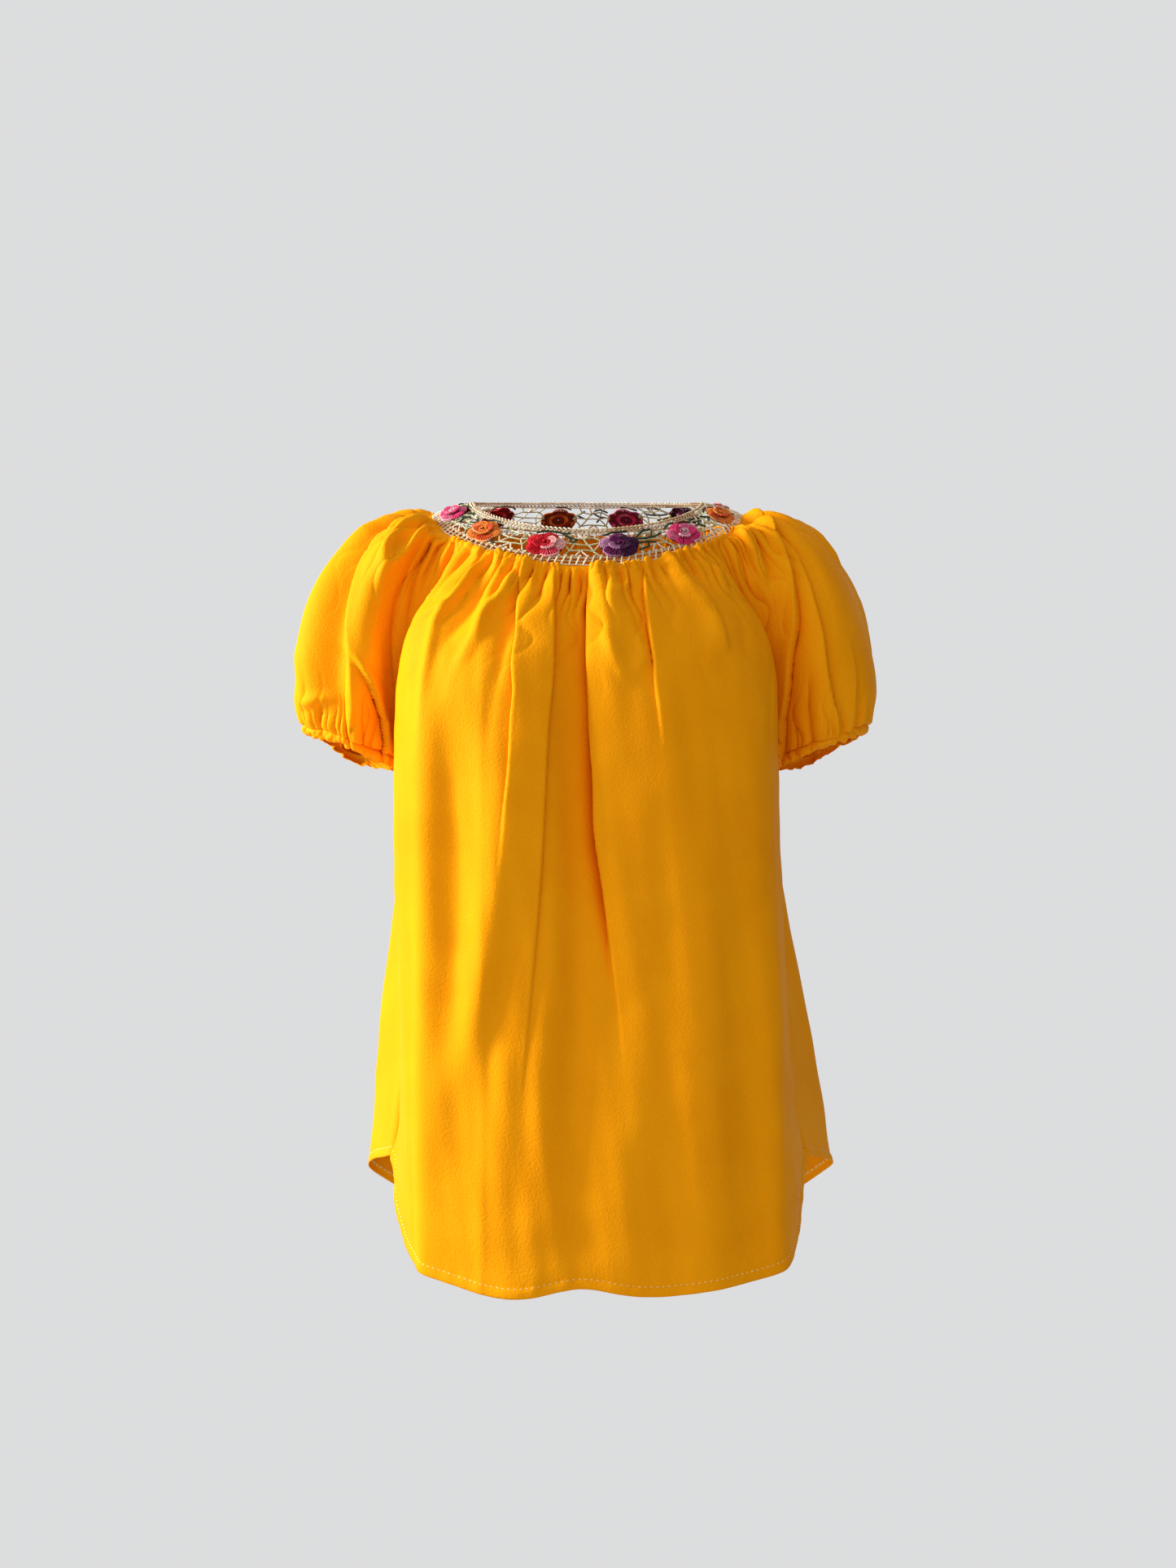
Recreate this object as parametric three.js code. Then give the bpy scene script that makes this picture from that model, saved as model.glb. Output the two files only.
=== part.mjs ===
// A peasant blouse as it is worn: an openwork crochet yoke, a front and a back that are
// gathered onto it, two puffed raglan sleeves with gathered cuffs, and a shirt-tail hem.
// Millimetres. +X is the wearer's left, +Y the wearer's back, +Z up. The origin is the middle
// of the neck, level with the top of the shoulders.
import * as THREE from "three";

const radians = THREE.MathUtils.degToRad;

// Driving dimensions
const CLOTH_WALL = 2.0;
const LACE_WALL = 1.6;
const SEAM_GAP = 0.6;
const RAGLAN_GAP = 1.6;
const YOKE_SEAM_GAP = 0.6;
const LACE_LIFT = 0.55;
const SEAM_CALM = 16;
const UNDERARM_SHARE = 0.253;
const SLEEVE_UNDERARM_SHARE = 0.84;
// How full the sleeve bends beside its seams and beside its outer ridge: 0.5 is straight
const SEAM_BEND = 0.55;
const RIDGE_BEND = 0.71;
// The share of its raglan seam over which a panel leaves the yoke's exact edge
const TOP_BLEND = 0.37;

// The yoke's two edges: half its width, how far it reaches forwards and backwards, and its heights
const YOKE_OUTER = { halfWidth: 132, front: 115, back: 112, sideZ: 4, frontZ: -48, backZ: -6 };
const YOKE_INNER = { halfWidth: 95, front: 86, back: 78, sideZ: 15, frontZ: -15, backZ: 24 };
const RING_POWER = 1.2;
const FRONT_RAGLAN_DEG = 54;
const BACK_RAGLAN_DEG = 128;

// How far the hanging cloth has swung sideways at each height
const LEAN = [
  { z: -640, x: 8 },
  { z: -560, x: 7 },
  { z: -380, x: 0 },
  { z: -200, x: -5 },
  { z: -60, x: -4 },
  { z: 40, x: -3 },
];

// The half section of the front at shares of the way from the yoke to the hem
const FRONT_SECTIONS = [
  ringSection(0, YOKE_OUTER, 0, [24, 42, 49]),
  { share: 0.044, centreY: -126, centreZ: -72, thirdX: 54, thirdY: -121, cornerX: 98, cornerY: -100, cornerZ: -60, turnX: 115, turnY: -84, turnZ: -55 },
  { share: 0.1, centreY: -136, centreZ: -104, thirdX: 57, thirdY: -135, cornerX: 118, cornerY: -110, cornerZ: -96, turnX: 142, turnY: -80, turnZ: -90 },
  { share: 0.16, centreY: -142, centreZ: -138, thirdX: 60, thirdY: -146, cornerX: 129, cornerY: -117, cornerZ: -132, turnX: 153, turnY: -78, turnZ: -127 },
  { share: 0.253, centreY: -146, centreZ: -192, thirdX: 61, thirdY: -150, cornerX: 134, cornerY: -119, cornerZ: -187, turnX: 157, turnY: -72, turnZ: -182 },
  { share: 0.437, centreY: -143, centreZ: -300, thirdX: 62, thirdY: -146, cornerX: 137, cornerY: -114, cornerZ: -298, turnX: 158, turnY: -68, turnZ: -294 },
  { share: 0.693, centreY: -141, centreZ: -450, thirdX: 64, thirdY: -143, cornerX: 140, cornerY: -110, cornerZ: -444, turnX: 160, turnY: -64, turnZ: -432 },
  { share: 1, centreY: -140, centreZ: -630, thirdX: 66, thirdY: -142, cornerX: 143, cornerY: -108, cornerZ: -616, turnX: 163, turnY: -62, turnZ: -596 },
];

// The half section of the back, in the same columns
const BACK_SECTIONS = [
  ringSection(0, YOKE_OUTER, 180, [-23, -40, -47]),
  { share: 0.05, centreY: 125, centreZ: -38, thirdX: 50, thirdY: 121, cornerX: 93, cornerY: 106, cornerZ: -38, turnX: 111, turnY: 93, turnZ: -37 },
  { share: 0.11, centreY: 133, centreZ: -76, thirdX: 54, thirdY: 132, cornerX: 110, cornerY: 116, cornerZ: -76, turnX: 133, turnY: 98, turnZ: -76 },
  { share: 0.17, centreY: 138, centreZ: -118, thirdX: 57, thirdY: 138, cornerX: 119, cornerY: 121, cornerZ: -118, turnX: 147, turnY: 88, turnZ: -118 },
  { share: 0.253, centreY: 140, centreZ: -182, thirdX: 60, thirdY: 140, cornerX: 128, cornerY: 119, cornerZ: -180, turnX: 154, turnY: 74, turnZ: -179 },
  { share: 0.437, centreY: 141, centreZ: -300, thirdX: 63, thirdY: 142, cornerX: 134, cornerY: 121, cornerZ: -298, turnX: 160, turnY: 76, turnZ: -294 },
  { share: 0.693, centreY: 143, centreZ: -450, thirdX: 67, thirdY: 146, cornerX: 146, cornerY: 126, cornerZ: -441, turnX: 180, turnY: 82, turnZ: -420 },
  { share: 1, centreY: 146, centreZ: -626, thirdX: 72, thirdY: 150, cornerX: 154, cornerY: 131, cornerZ: -600, turnX: 200, turnY: 86, turnZ: -558 },
];

// The seams that the panels share, from the yoke down, on the wearer's left
const FRONT_RAGLAN = [[117, -63, -52], [129, -52, -86], [137, -36, -122], [141, -15, -155], [142, 8, -178]];
const BACK_RAGLAN = [[117, 74, -36], [130, 72, -76], [138, 57, -118], [142, 34, -154], [142, 8, -178]];
const SIDE_SEAM = [[142, 8, -178], [141, 8, -250], [144, 9, -340], [155, 10, -430], [174, 14, -540]];
const UNDERARM_SEAM = [[142, 8, -178], [147, 7, -197], [152, 6, -214]];

// The sleeve: its outer ridge, the widest point of its front and back, at shares of its length
const SLEEVE_SECTIONS = [
  sleeveRingSection(),
  { share: 0.07, ridgeX: 149, ridgeZ: 9, midX: 133, midZ: -12, frontY: -58, backY: 64, backDrop: -4 },
  { share: 0.15, ridgeX: 171, ridgeZ: 4, midX: 150, midZ: -24, frontY: -57, backY: 66, backDrop: -4 },
  { share: 0.31, ridgeX: 203, ridgeZ: -24, midX: 172, midZ: -54, frontY: -62, backY: 72, backDrop: -4 },
  { share: 0.5, ridgeX: 227, ridgeZ: -64, midX: 188, midZ: -90, frontY: -68, backY: 77, backDrop: -4 },
  { share: 0.68, ridgeX: 240, ridgeZ: -107, midX: 195, midZ: -124, frontY: -69, backY: 77, backDrop: -6 },
  { share: 0.84, ridgeX: 246, ridgeZ: -145, midX: 199, midZ: -158, frontY: -62, backY: 70, backDrop: -8 },
  { share: 0.93, ridgeX: 243, ridgeZ: -166, midX: 199, midZ: -180, frontY: -52, backY: 60, backDrop: -10 },
  { share: 1, ridgeX: 236, ridgeZ: -181, midX: 195, midZ: -194, frontY: -41, backY: 51, backDrop: -12 },
];

// Folds: where each one runs across the panel (0 to 1), how high it stands and its half width,
// at the stations of FOLD_STATIONS. A negative height is a trough.
const BODY_STATIONS = [0, 0.25, 0.6, 1];
const FRONT_FOLDS = [
  { name: "wearer's right edge ridge", across: [0.16, 0.2, 0.165, 0.17], height: [0, 5, 5, 4], width: [8, 15, 14, 15] },
  { name: "right panel trough", across: [0.22, 0.27, 0.26, 0.27], height: [0, -7, -8, -3], width: [8, 15, 17, 20] },
  { name: "right panel ridge", across: [0.28, 0.345, 0.33, 0.26], height: [1, 5, 7, 4], width: [6, 11, 13, 16] },
  { name: "pleat shoulder", across: [0.33, 0.39, 0.4, 0.36], height: [2, 8, 8, 3], width: [6, 10, 12, 16] },
  { name: "centre pleat", across: [0.46, 0.463, 0.468, 0.46], height: [-3, -19, -17, -6], width: [7, 14, 16, 21] },
  { name: "pleat lip", across: [0.525, 0.53, 0.54, 0.56], height: [4, 8, 7, 4], width: [6, 9, 11, 20] },
  { name: "left panel inner trough", across: [0.56, 0.575, 0.59, 0.62], height: [-2, -5, -5, -5], width: [6, 10, 13, 18] },
  { name: "left panel ridge", across: [0.62, 0.615, 0.645, 0.66], height: [2, 7, 7, 5], width: [6, 11, 13, 16] },
  { name: "left panel outer trough", across: [0.68, 0.67, 0.7, 0.73], height: [-1, -5, -5, -6], width: [6, 13, 16, 16] },
  { name: "left panel radiating ridge", across: [0.72, 0.735, 0.76, 0.79], height: [3, 5, 3, 7], width: [7, 13, 15, 14] },
  { name: "left corner trough", across: [0.8, 0.8, 0.82, 0.84], height: [0, -3, -5, -5], width: [7, 12, 14, 14] },
];
const BACK_FOLDS = [
  { name: "edge ridge", across: [0.14, 0.14, 0.15, 0.16], height: [0, 3, 6, 8], width: [8, 14, 18, 20] },
  { name: "edge trough", across: [0.2, 0.22, 0.23, 0.24], height: [0, -4, -8, -9], width: [8, 15, 18, 20] },
  { name: "side ridge", across: [0.28, 0.3, 0.31, 0.32], height: [2, 5, 7, 8], width: [7, 14, 17, 20] },
  { name: "inner trough", across: [0.37, 0.38, 0.4, 0.41], height: [-1, -5, -8, -8], width: [7, 14, 17, 19] },
  { name: "centre ridge", across: [0.48, 0.47, 0.48, 0.5], height: [2, 5, 8, 9], width: [7, 15, 18, 21] },
  { name: "centre trough", across: [0.55, 0.56, 0.57, 0.6], height: [-1, -5, -7, -8], width: [7, 14, 16, 19] },
  { name: "outer ridge", across: [0.64, 0.65, 0.67, 0.69], height: [2, 5, 7, 7], width: [7, 13, 16, 19] },
  { name: "outer trough", across: [0.73, 0.75, 0.77, 0.78], height: [0, -4, -7, -8], width: [8, 14, 16, 18] },
  { name: "far edge ridge", across: [0.82, 0.85, 0.86, 0.86], height: [0, 3, 6, 7], width: [8, 13, 16, 18] },
];
const SLEEVE_STATIONS = [0, 0.3, 0.65, 1];
const LEFT_SLEEVE_FOLDS = [
  { name: "body side ridge", across: [0.12, 0.11, 0.12, 0.12], height: [2, 4, 4, 1], width: [6, 9, 10, 8] },
  { name: "body side crease", across: [0.2, 0.18, 0.19, 0.18], height: [-2, -5, -5, -2], width: [5, 8, 9, 7] },
  { name: "front ridge", across: [0.3, 0.28, 0.29, 0.3], height: [2, 4, 4, 2], width: [6, 11, 13, 9] },
  { name: "outer crease", across: [0.4, 0.39, 0.4, 0.4], height: [-1, -3, -4, -2], width: [5, 9, 10, 7] },
  { name: "back crease", across: [0.63, 0.64, 0.64, 0.62], height: [-1, -4, -5, -2], width: [5, 10, 11, 8] },
  { name: "back ridge", across: [0.74, 0.75, 0.74, 0.74], height: [2, 4, 4, 1], width: [6, 11, 12, 8] },
  { name: "back body side crease", across: [0.85, 0.85, 0.86, 0.86], height: [-1, -3, -4, -1], width: [5, 9, 9, 7] },
];
const RIGHT_SLEEVE_FOLDS = [
  { name: "body side ridge", across: [0.1, 0.12, 0.12, 0.12], height: [2, 5, 4, 1], width: [6, 9, 10, 8] },
  { name: "body side crease", across: [0.18, 0.2, 0.2, 0.18], height: [-2, -5, -5, -2], width: [5, 8, 8, 7] },
  { name: "front ridge", across: [0.28, 0.29, 0.3, 0.31], height: [2, 6, 6, 2], width: [6, 11, 12, 9] },
  { name: "outer crease", across: [0.37, 0.385, 0.385, 0.38], height: [-1, -5, -6, -3], width: [5, 8, 9, 7] },
  { name: "back crease", across: [0.61, 0.62, 0.63, 0.62], height: [-1, -4, -5, -2], width: [5, 10, 11, 8] },
  { name: "back ridge", across: [0.72, 0.73, 0.73, 0.74], height: [2, 5, 4, 1], width: [6, 11, 12, 8] },
  { name: "back body side crease", across: [0.84, 0.85, 0.86, 0.86], height: [-1, -3, -4, -1], width: [5, 9, 9, 7] },
];

// Gathers: how many, how high they stand at the seam and how soon they die away
const FRONT_GATHERS = { count: 18, height: 2.6, reach: 46 };
const BACK_GATHERS = { count: 18, height: 2.6, reach: 46 };
const SLEEVE_GATHERS = { count: 12, height: 2.6, reach: 40 };
const CUFF_GATHERS = { count: 22, height: 2.2, reach: 26 };

// Rows and columns of the walls
const RAGLAN_ROWS = [0, 0.035, 0.09, 0.19, 0.37, 0.6, 0.8, 1];
const SKIRT_ROWS = [0.33, 0.43, 0.54, 0.66, 0.78, 0.9, 1];
const CUFF_ROWS = [0.91, 0.965, 1];
const GATHERED_ROWS = 3;
const POINTS_PER_GATHER = 4;
const FRONT_COLUMNS = 56;
const BACK_COLUMNS = 38;
const SLEEVE_COLUMNS = 30;
const POINTS_PER_CUFF_GATHER = 3;

// The crochet yoke: its repeat, its bars and its flowers
const YOKE_WIDTH = 42;
const YOKE_MID_RADIUS = 113;
const YOKE_CROWN = 2;
const REPEAT_DEG = 30;
const REPEATS_PER_HALF = 6;
const FIRST_FLOWER_DEG = -77;
const COLUMNS_PER_REPEAT = 6;
// The knots of the net: how far in each row of them lies from the yoke's outer edge
const KNOT_ROWS = [0, 12.4, 19.8, 27.6, 35.2, 42];
const KNOT_WANDER = { x: 1.7, y: 1.3 };
const LADDER_BAR_HALF = 1.5;
const NET_BAR_HALF = 0.95;
const NET_CENTRE = 21.8;
// The plain cells that carry a flower, and the pairs of cells with no bar between them
const SEAT = { firstColumn: 2, lastColumn: 3, firstRow: 1, lastRow: 3 };
const OPEN_PAIRS = [{ row: 1, column: 4 }, { row: 2, column: 0 }, { row: 3, column: 4 }];
const FLOWER = { halfWidth: 16.5, halfDepth: 12.8, petals: 5, pointsPerPetal: 2, notch: 0.84 };
// The rings of a flower: share of its half sizes and height over the lace
const FLOWER_RINGS = [
  { reach: 0.96, height: 0 },
  { reach: 1, height: 1.6 },
  { reach: 0.62, height: 3.6 },
  { reach: 0.34, height: 2.9 },
];
const FLOWER_TOP = 4.6;
const FLOWER_COLOURS = ["pink", "orange", "red", "purple"];

const COLOURS = {
  cloth: 0xe9a112,
  lace: 0xd9c79c,
  pink: 0xe2669c,
  orange: 0xe8793a,
  red: 0xcf1f43,
  purple: 0x6b2b5e,
};

function vector(x, y, z) {
  return new THREE.Vector3(x, y, z);
}

function ringPoint(ring, angle) {
  const forward = Math.cos(angle);
  const reach = forward > 0 ? ring.front : ring.back;
  const endZ = forward > 0 ? ring.frontZ : ring.backZ;
  const z = ring.sideZ + (endZ - ring.sideZ) * Math.abs(forward) ** RING_POWER;
  return vector(ring.halfWidth * Math.sin(angle), -reach * forward, z);
}

// The yoke's surface: an angle round the neck and the share of the way in from the outer edge
function yokeSurface(angle, share) {
  const p = ringPoint(YOKE_OUTER, angle).lerp(ringPoint(YOKE_INNER, angle), share);
  return p.add(vector(0, 0, YOKE_CROWN * Math.sin(Math.PI * share)));
}

function yokeNormal(angle, share) {
  const d = 0.01;
  const along = yokeSurface(angle + d, share).sub(yokeSurface(angle - d, share));
  const up = yokeSurface(angle, share + d).sub(yokeSurface(angle, share - d));
  return along.cross(up).normalize();
}

// A point of the yoke: its angle, its distance in from the outer edge and its height off the lace
function yokePoint(angle, inward, height) {
  const share = inward / YOKE_WIDTH;
  return yokeSurface(angle, share).addScaledVector(yokeNormal(angle, share), height);
}

// A body section that lies on the yoke's outer edge
function ringSection(share, ring, middleDeg, anglesDeg) {
  const centre = ringPoint(ring, radians(middleDeg));
  const [third, corner, turn] = anglesDeg.map((a) => ringPoint(ring, radians(middleDeg + a)));
  return {
    share,
    centreY: centre.y, centreZ: centre.z,
    thirdX: third.x, thirdY: third.y,
    cornerX: corner.x, cornerY: corner.y, cornerZ: corner.z,
    turnX: turn.x, turnY: turn.y, turnZ: turn.z,
  };
}

// A sleeve section that lies on the yoke's outer edge
function sleeveRingSection() {
  const ridge = ringPoint(YOKE_OUTER, Math.PI / 2);
  const front = ringPoint(YOKE_OUTER, radians(66));
  const back = ringPoint(YOKE_OUTER, radians(116));
  return {
    share: 0,
    ridgeX: ridge.x, ridgeZ: ridge.z,
    midX: front.x, midZ: front.z,
    frontY: front.y, backY: back.y, backDrop: back.z - front.z,
  };
}

// The value of one column between the rows of a table, on a smooth curve through them
function between(table, key, column, at) {
  const last = table.length - 1;
  let i = 0;
  while (i < last - 1 && at > table[i + 1][key]) i++;
  const slope = (a, b) => (table[b][column] - table[a][column]) / (table[b][key] - table[a][key]);
  const width = table[i + 1][key] - table[i][key];
  const t = Math.min(1, Math.max(0, (at - table[i][key]) / width));
  const before = slope(Math.max(0, i - 1), i + 1) * width;
  const after = slope(i, Math.min(last, i + 2)) * width;
  const a = table[i][column];
  const b = table[i + 1][column];
  const t2 = t * t;
  const t3 = t2 * t;
  return (2 * t3 - 3 * t2 + 1) * a + (t3 - 2 * t2 + t) * before + (3 * t2 - 2 * t3) * b + (t3 - t2) * after;
}

function stationValue(stations, values, at) {
  return between(stations.map((s, i) => ({ at: s, value: values[i] })), "at", "value", at);
}

function smooth(low, high, x) {
  return THREE.MathUtils.smoothstep(x, low, high);
}

function seamCurve(points, start) {
  const listed = points.map(([x, y, z]) => vector(x, y, z));
  return new THREE.CatmullRomCurve3(start ? [start, ...listed] : listed, false, "centripetal");
}

const frontRaglan = seamCurve(FRONT_RAGLAN, ringPoint(YOKE_OUTER, radians(FRONT_RAGLAN_DEG)));
const backRaglan = seamCurve(BACK_RAGLAN, ringPoint(YOKE_OUTER, radians(BACK_RAGLAN_DEG)));
const sideSeam = seamCurve(SIDE_SEAM);
const underarmSeam = seamCurve(UNDERARM_SEAM);

// The point of a panel's edge: on its raglan seam down to the underarm, then on the seam below it
function edgePoint(raglan, below, underarmShare, share) {
  if (share <= underarmShare) return raglan.getPointAt(share / underarmShare);
  return below.getPointAt((share - underarmShare) / (1 - underarmShare));
}

// The row of a front or back at a share of the way down: a curve from edge to edge
function bodyRow(sections, raglan, share) {
  const at = (column) => between(sections, "share", column, share);
  const edge = edgePoint(raglan, sideSeam, UNDERARM_SHARE, share);
  const thirdZ = at("centreZ") + (at("cornerZ") - at("centreZ")) * 0.2;
  const half = [
    edge,
    vector(at("turnX"), at("turnY"), at("turnZ")),
    vector(at("cornerX"), at("cornerY"), at("cornerZ")),
    vector(at("thirdX"), at("thirdY"), thirdZ),
  ];
  const mirrored = half.map((p) => vector(-p.x, p.y, p.z));
  const centre = vector(0, at("centreY"), at("centreZ"));
  return new THREE.CatmullRomCurve3([...mirrored, centre, ...half.reverse()], false, "centripetal");
}

// A point of the bend between the side of a sleeve and one end of its section
function bendPoint(side, end, fullness) {
  return vector(
    side.x + (end.x - side.x) * fullness,
    end.y + (side.y - end.y) * fullness,
    side.z + (end.z - side.z) * fullness,
  );
}

// The row of the wearer's left sleeve: from the front seam over the ridge to the back seam
function sleeveRow(share) {
  const at = (column) => between(SLEEVE_SECTIONS, "share", column, share);
  const frontEdge = edgePoint(frontRaglan, underarmSeam, SLEEVE_UNDERARM_SHARE, share);
  const backEdge = edgePoint(backRaglan, underarmSeam, SLEEVE_UNDERARM_SHARE, share);
  const ridge = vector(at("ridgeX"), (frontEdge.y + backEdge.y) / 2, at("ridgeZ"));
  const front = vector(at("midX"), at("frontY"), at("midZ"));
  const back = vector(at("midX"), at("backY"), at("midZ") + at("backDrop"));
  const points = [
    frontEdge, bendPoint(front, frontEdge, SEAM_BEND), front, bendPoint(front, ridge, RIDGE_BEND),
    ridge,
    bendPoint(back, ridge, RIDGE_BEND), back, bendPoint(back, backEdge, SEAM_BEND), backEdge,
  ];
  return new THREE.CatmullRomCurve3(points, false, "centripetal");
}

function foldRelief(folds, stations, across, share, length) {
  let relief = 0;
  for (const fold of folds) {
    const offset = (across - stationValue(stations, fold.across, share)) * length;
    const width = stationValue(stations, fold.width, share);
    relief += stationValue(stations, fold.height, share) * Math.exp(-((offset / width) ** 2));
  }
  return relief;
}

function gatherRelief(gathers, across, distance) {
  const fade = Math.exp(-((distance / gathers.reach) ** 2));
  return gathers.height * fade * -Math.cos(across * gathers.count * 2 * Math.PI);
}

// A panel: a smooth base surface, and the folds that stand out from it
function makePanel({ row, ringFrom, ringTo, underarmShare, armpitGap, length, folds, stations, gathers, cuffGathers, flip }) {
  const rows = new Map();
  const rowAt = (share) => {
    if (!rows.has(share)) rows.set(share, row(share));
    return rows.get(share);
  };
  const ringAngle = (across) => radians(ringFrom + (ringTo - ringFrom) * across);
  const base = (across, share) => {
    const offRing = ringPoint(YOKE_OUTER, ringAngle(across)).sub(rowAt(0).getPointAt(across));
    const fade = 1 - smooth(0, TOP_BLEND * underarmShare, share);
    return rowAt(share).getPointAt(across).addScaledVector(offRing, fade);
  };
  const step = 0.004;
  const normal = (across, share) => {
    if (share === 0) return yokeNormal(ringAngle(across), 0);
    const a0 = Math.max(0, across - step);
    const a1 = Math.min(1, across + step);
    const s0 = Math.max(0, share - step);
    const s1 = Math.min(1, share + step);
    const along = base(a1, share).sub(base(a0, share));
    const down = base(across, s1).sub(base(across, s0));
    return down.cross(along).multiplyScalar(flip).normalize();
  };
  const relief = (across, share) => {
    const rowLength = rowAt(share).getLength();
    const toEdge = Math.min(across, 1 - across) * rowLength;
    let height = foldRelief(folds, stations, across, share, rowLength) * smooth(0, 0.05, share);
    height += gatherRelief(gathers, across, share * length);
    if (cuffGathers) {
      height *= smooth(0, 0.12, 1 - share) * 0.8 + 0.2;
      height += gatherRelief(cuffGathers, across, (1 - share) * length);
    }
    return height * smooth(0, SEAM_CALM, toEdge);
  };
  return { base, normal, relief, underarmShare, armpitGap };
}

const front = makePanel({
  row: (share) => bodyRow(FRONT_SECTIONS, frontRaglan, share),
  ringFrom: -FRONT_RAGLAN_DEG, ringTo: FRONT_RAGLAN_DEG, underarmShare: UNDERARM_SHARE, armpitGap: 0,
  length: 586, folds: FRONT_FOLDS, stations: BODY_STATIONS, gathers: FRONT_GATHERS, flip: 1,
});
const back = makePanel({
  row: (share) => bodyRow(BACK_SECTIONS, backRaglan, share),
  ringFrom: 360 - BACK_RAGLAN_DEG, ringTo: BACK_RAGLAN_DEG, underarmShare: UNDERARM_SHARE, armpitGap: 0,
  length: 626, folds: BACK_FOLDS, stations: BODY_STATIONS, gathers: BACK_GATHERS, flip: -1,
});
const sleeve = (folds) => makePanel({
  row: sleeveRow,
  ringFrom: FRONT_RAGLAN_DEG, ringTo: BACK_RAGLAN_DEG, underarmShare: SLEEVE_UNDERARM_SHARE, armpitGap: SEAM_GAP,
  length: 245, folds, stations: SLEEVE_STATIONS, gathers: SLEEVE_GATHERS, cuffGathers: CUFF_GATHERS, flip: 1,
});
const leftSleeve = sleeve(LEFT_SLEEVE_FOLDS);
const rightSleeve = sleeve(RIGHT_SLEEVE_FOLDS);

const NEAR_SEAM = 0.02;

const UNDERARM_DIRECTION = vector(0, 0, -1);

// The direction of the wall's thickness at a seam, shared by the two panels that meet there
function seamDirection(seam, t) {
  const bisector = seamBisector(seam, t);
  return bisector.lerp(UNDERARM_DIRECTION, smooth(0.5, 1, t)).normalize();
}

function seamBisector(seam, t) {
  if (t === 0) return yokeNormal(radians(seam === "frontRaglan" ? FRONT_RAGLAN_DEG : BACK_RAGLAN_DEG), 0);
  const bodyShare = t * UNDERARM_SHARE;
  const sleeveShare = t * SLEEVE_UNDERARM_SHARE;
  if (seam === "frontRaglan") {
    return front.normal(1 - NEAR_SEAM, bodyShare).add(leftSleeve.normal(NEAR_SEAM, sleeveShare)).normalize();
  }
  return back.normal(1 - NEAR_SEAM, bodyShare).add(leftSleeve.normal(1 - NEAR_SEAM, sleeveShare)).normalize();
}

function sideDirection(share) {
  return front.normal(1 - NEAR_SEAM, share).add(back.normal(1 - NEAR_SEAM, share)).normalize();
}

// One row of a wall: its outer points, and the inner points a wall's thickness behind them
function wallRow(panel, share, columns, directionAtEnd) {
  const row = { at: [], outer: [], inner: [] };
  const gapAcross = (share > panel.underarmShare ? SEAM_GAP : RAGLAN_GAP) / 2;
  for (let i = 0; i <= columns; i++) {
    const across = i / columns;
    const normal = panel.normal(across, share);
    const outer = panel.base(across, share).addScaledVector(normal, panel.relief(across, share));
    let direction = normal;
    if (i === 0 || i === columns) {
      direction = directionAtEnd(i === 0 ? 0 : 1, share);
      const inward = panel.base(i === 0 ? NEAR_SEAM : 1 - NEAR_SEAM, share).sub(panel.base(across, share));
      const sideways = inward.addScaledVector(direction, -inward.dot(direction)).normalize();
      outer.addScaledVector(sideways, gapAcross);
      outer.x += panel.armpitGap * Math.max(0, 1 - Math.abs(share / panel.underarmShare - 1) * 4);
    }
    row.at.push(across);
    row.outer.push(outer);
    row.inner.push(outer.clone().addScaledVector(direction, -CLOTH_WALL));
  }
  return row;
}

// The strip of triangles between two rows of points, which may differ in number
function zipRows(faces, a, b, atA, atB, reversed) {
  let i = 0;
  let j = 0;
  while (i < a.length - 1 || j < b.length - 1) {
    const stepA = j === b.length - 1 || (i < a.length - 1 && atA[i + 1] + atA[i] <= atB[j + 1] + atB[j]);
    const face = stepA ? [a[i], b[j], a[i + 1]] : [a[i], b[j], b[j + 1]];
    if (reversed) face.reverse();
    faces.push(...face);
    if (stepA) i++;
    else j++;
  }
}

// A closed wall from its rows
function wallFromRows(rows) {
  const points = [];
  const faces = [];
  const put = (list) => list.map((p) => points.push(p) - 1);
  const placed = rows.map((r) => ({ at: r.at, outer: put(r.outer), inner: put(r.inner) }));
  for (let i = 0; i + 1 < placed.length; i++) {
    const [a, b] = [placed[i], placed[i + 1]];
    zipRows(faces, a.outer, b.outer, a.at, b.at, false);
    zipRows(faces, a.inner, b.inner, a.at, b.at, true);
    const [endA, endB] = [a.outer.length - 1, b.outer.length - 1];
    faces.push(a.outer[0], a.inner[0], b.outer[0], b.outer[0], a.inner[0], b.inner[0]);
    faces.push(a.outer[endA], b.outer[endB], a.inner[endA], b.outer[endB], b.inner[endB], a.inner[endA]);
  }
  const rim = (r, reversed) => zipRows(faces, r.inner, r.outer, r.at, r.at, reversed);
  rim(placed[0], false);
  rim(placed[placed.length - 1], true);
  return solidGeometry(points, faces);
}

// The sideways swing of the whole hanging garment at a height
function lean(p) {
  p.x += between(LEAN, "z", "x", p.z);
  return p;
}

// A closed geometry whose faces point out, after the garment's lean
function solidGeometry(points, faces) {
  const leaning = points.map((p) => lean(p.clone()));
  let volume = 0;
  for (let i = 0; i < faces.length; i += 3) {
    const [a, b, c] = [leaning[faces[i]], leaning[faces[i + 1]], leaning[faces[i + 2]]];
    volume += a.dot(b.clone().cross(c));
  }
  if (volume < 0) faces = [...faces].reverse();
  const geometry = new THREE.BufferGeometry().setFromPoints(leaning);
  geometry.setIndex(faces);
  geometry.computeVertexNormals();
  return geometry;
}

function mirrored(p) {
  return vector(-p.x, p.y, p.z);
}

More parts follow.
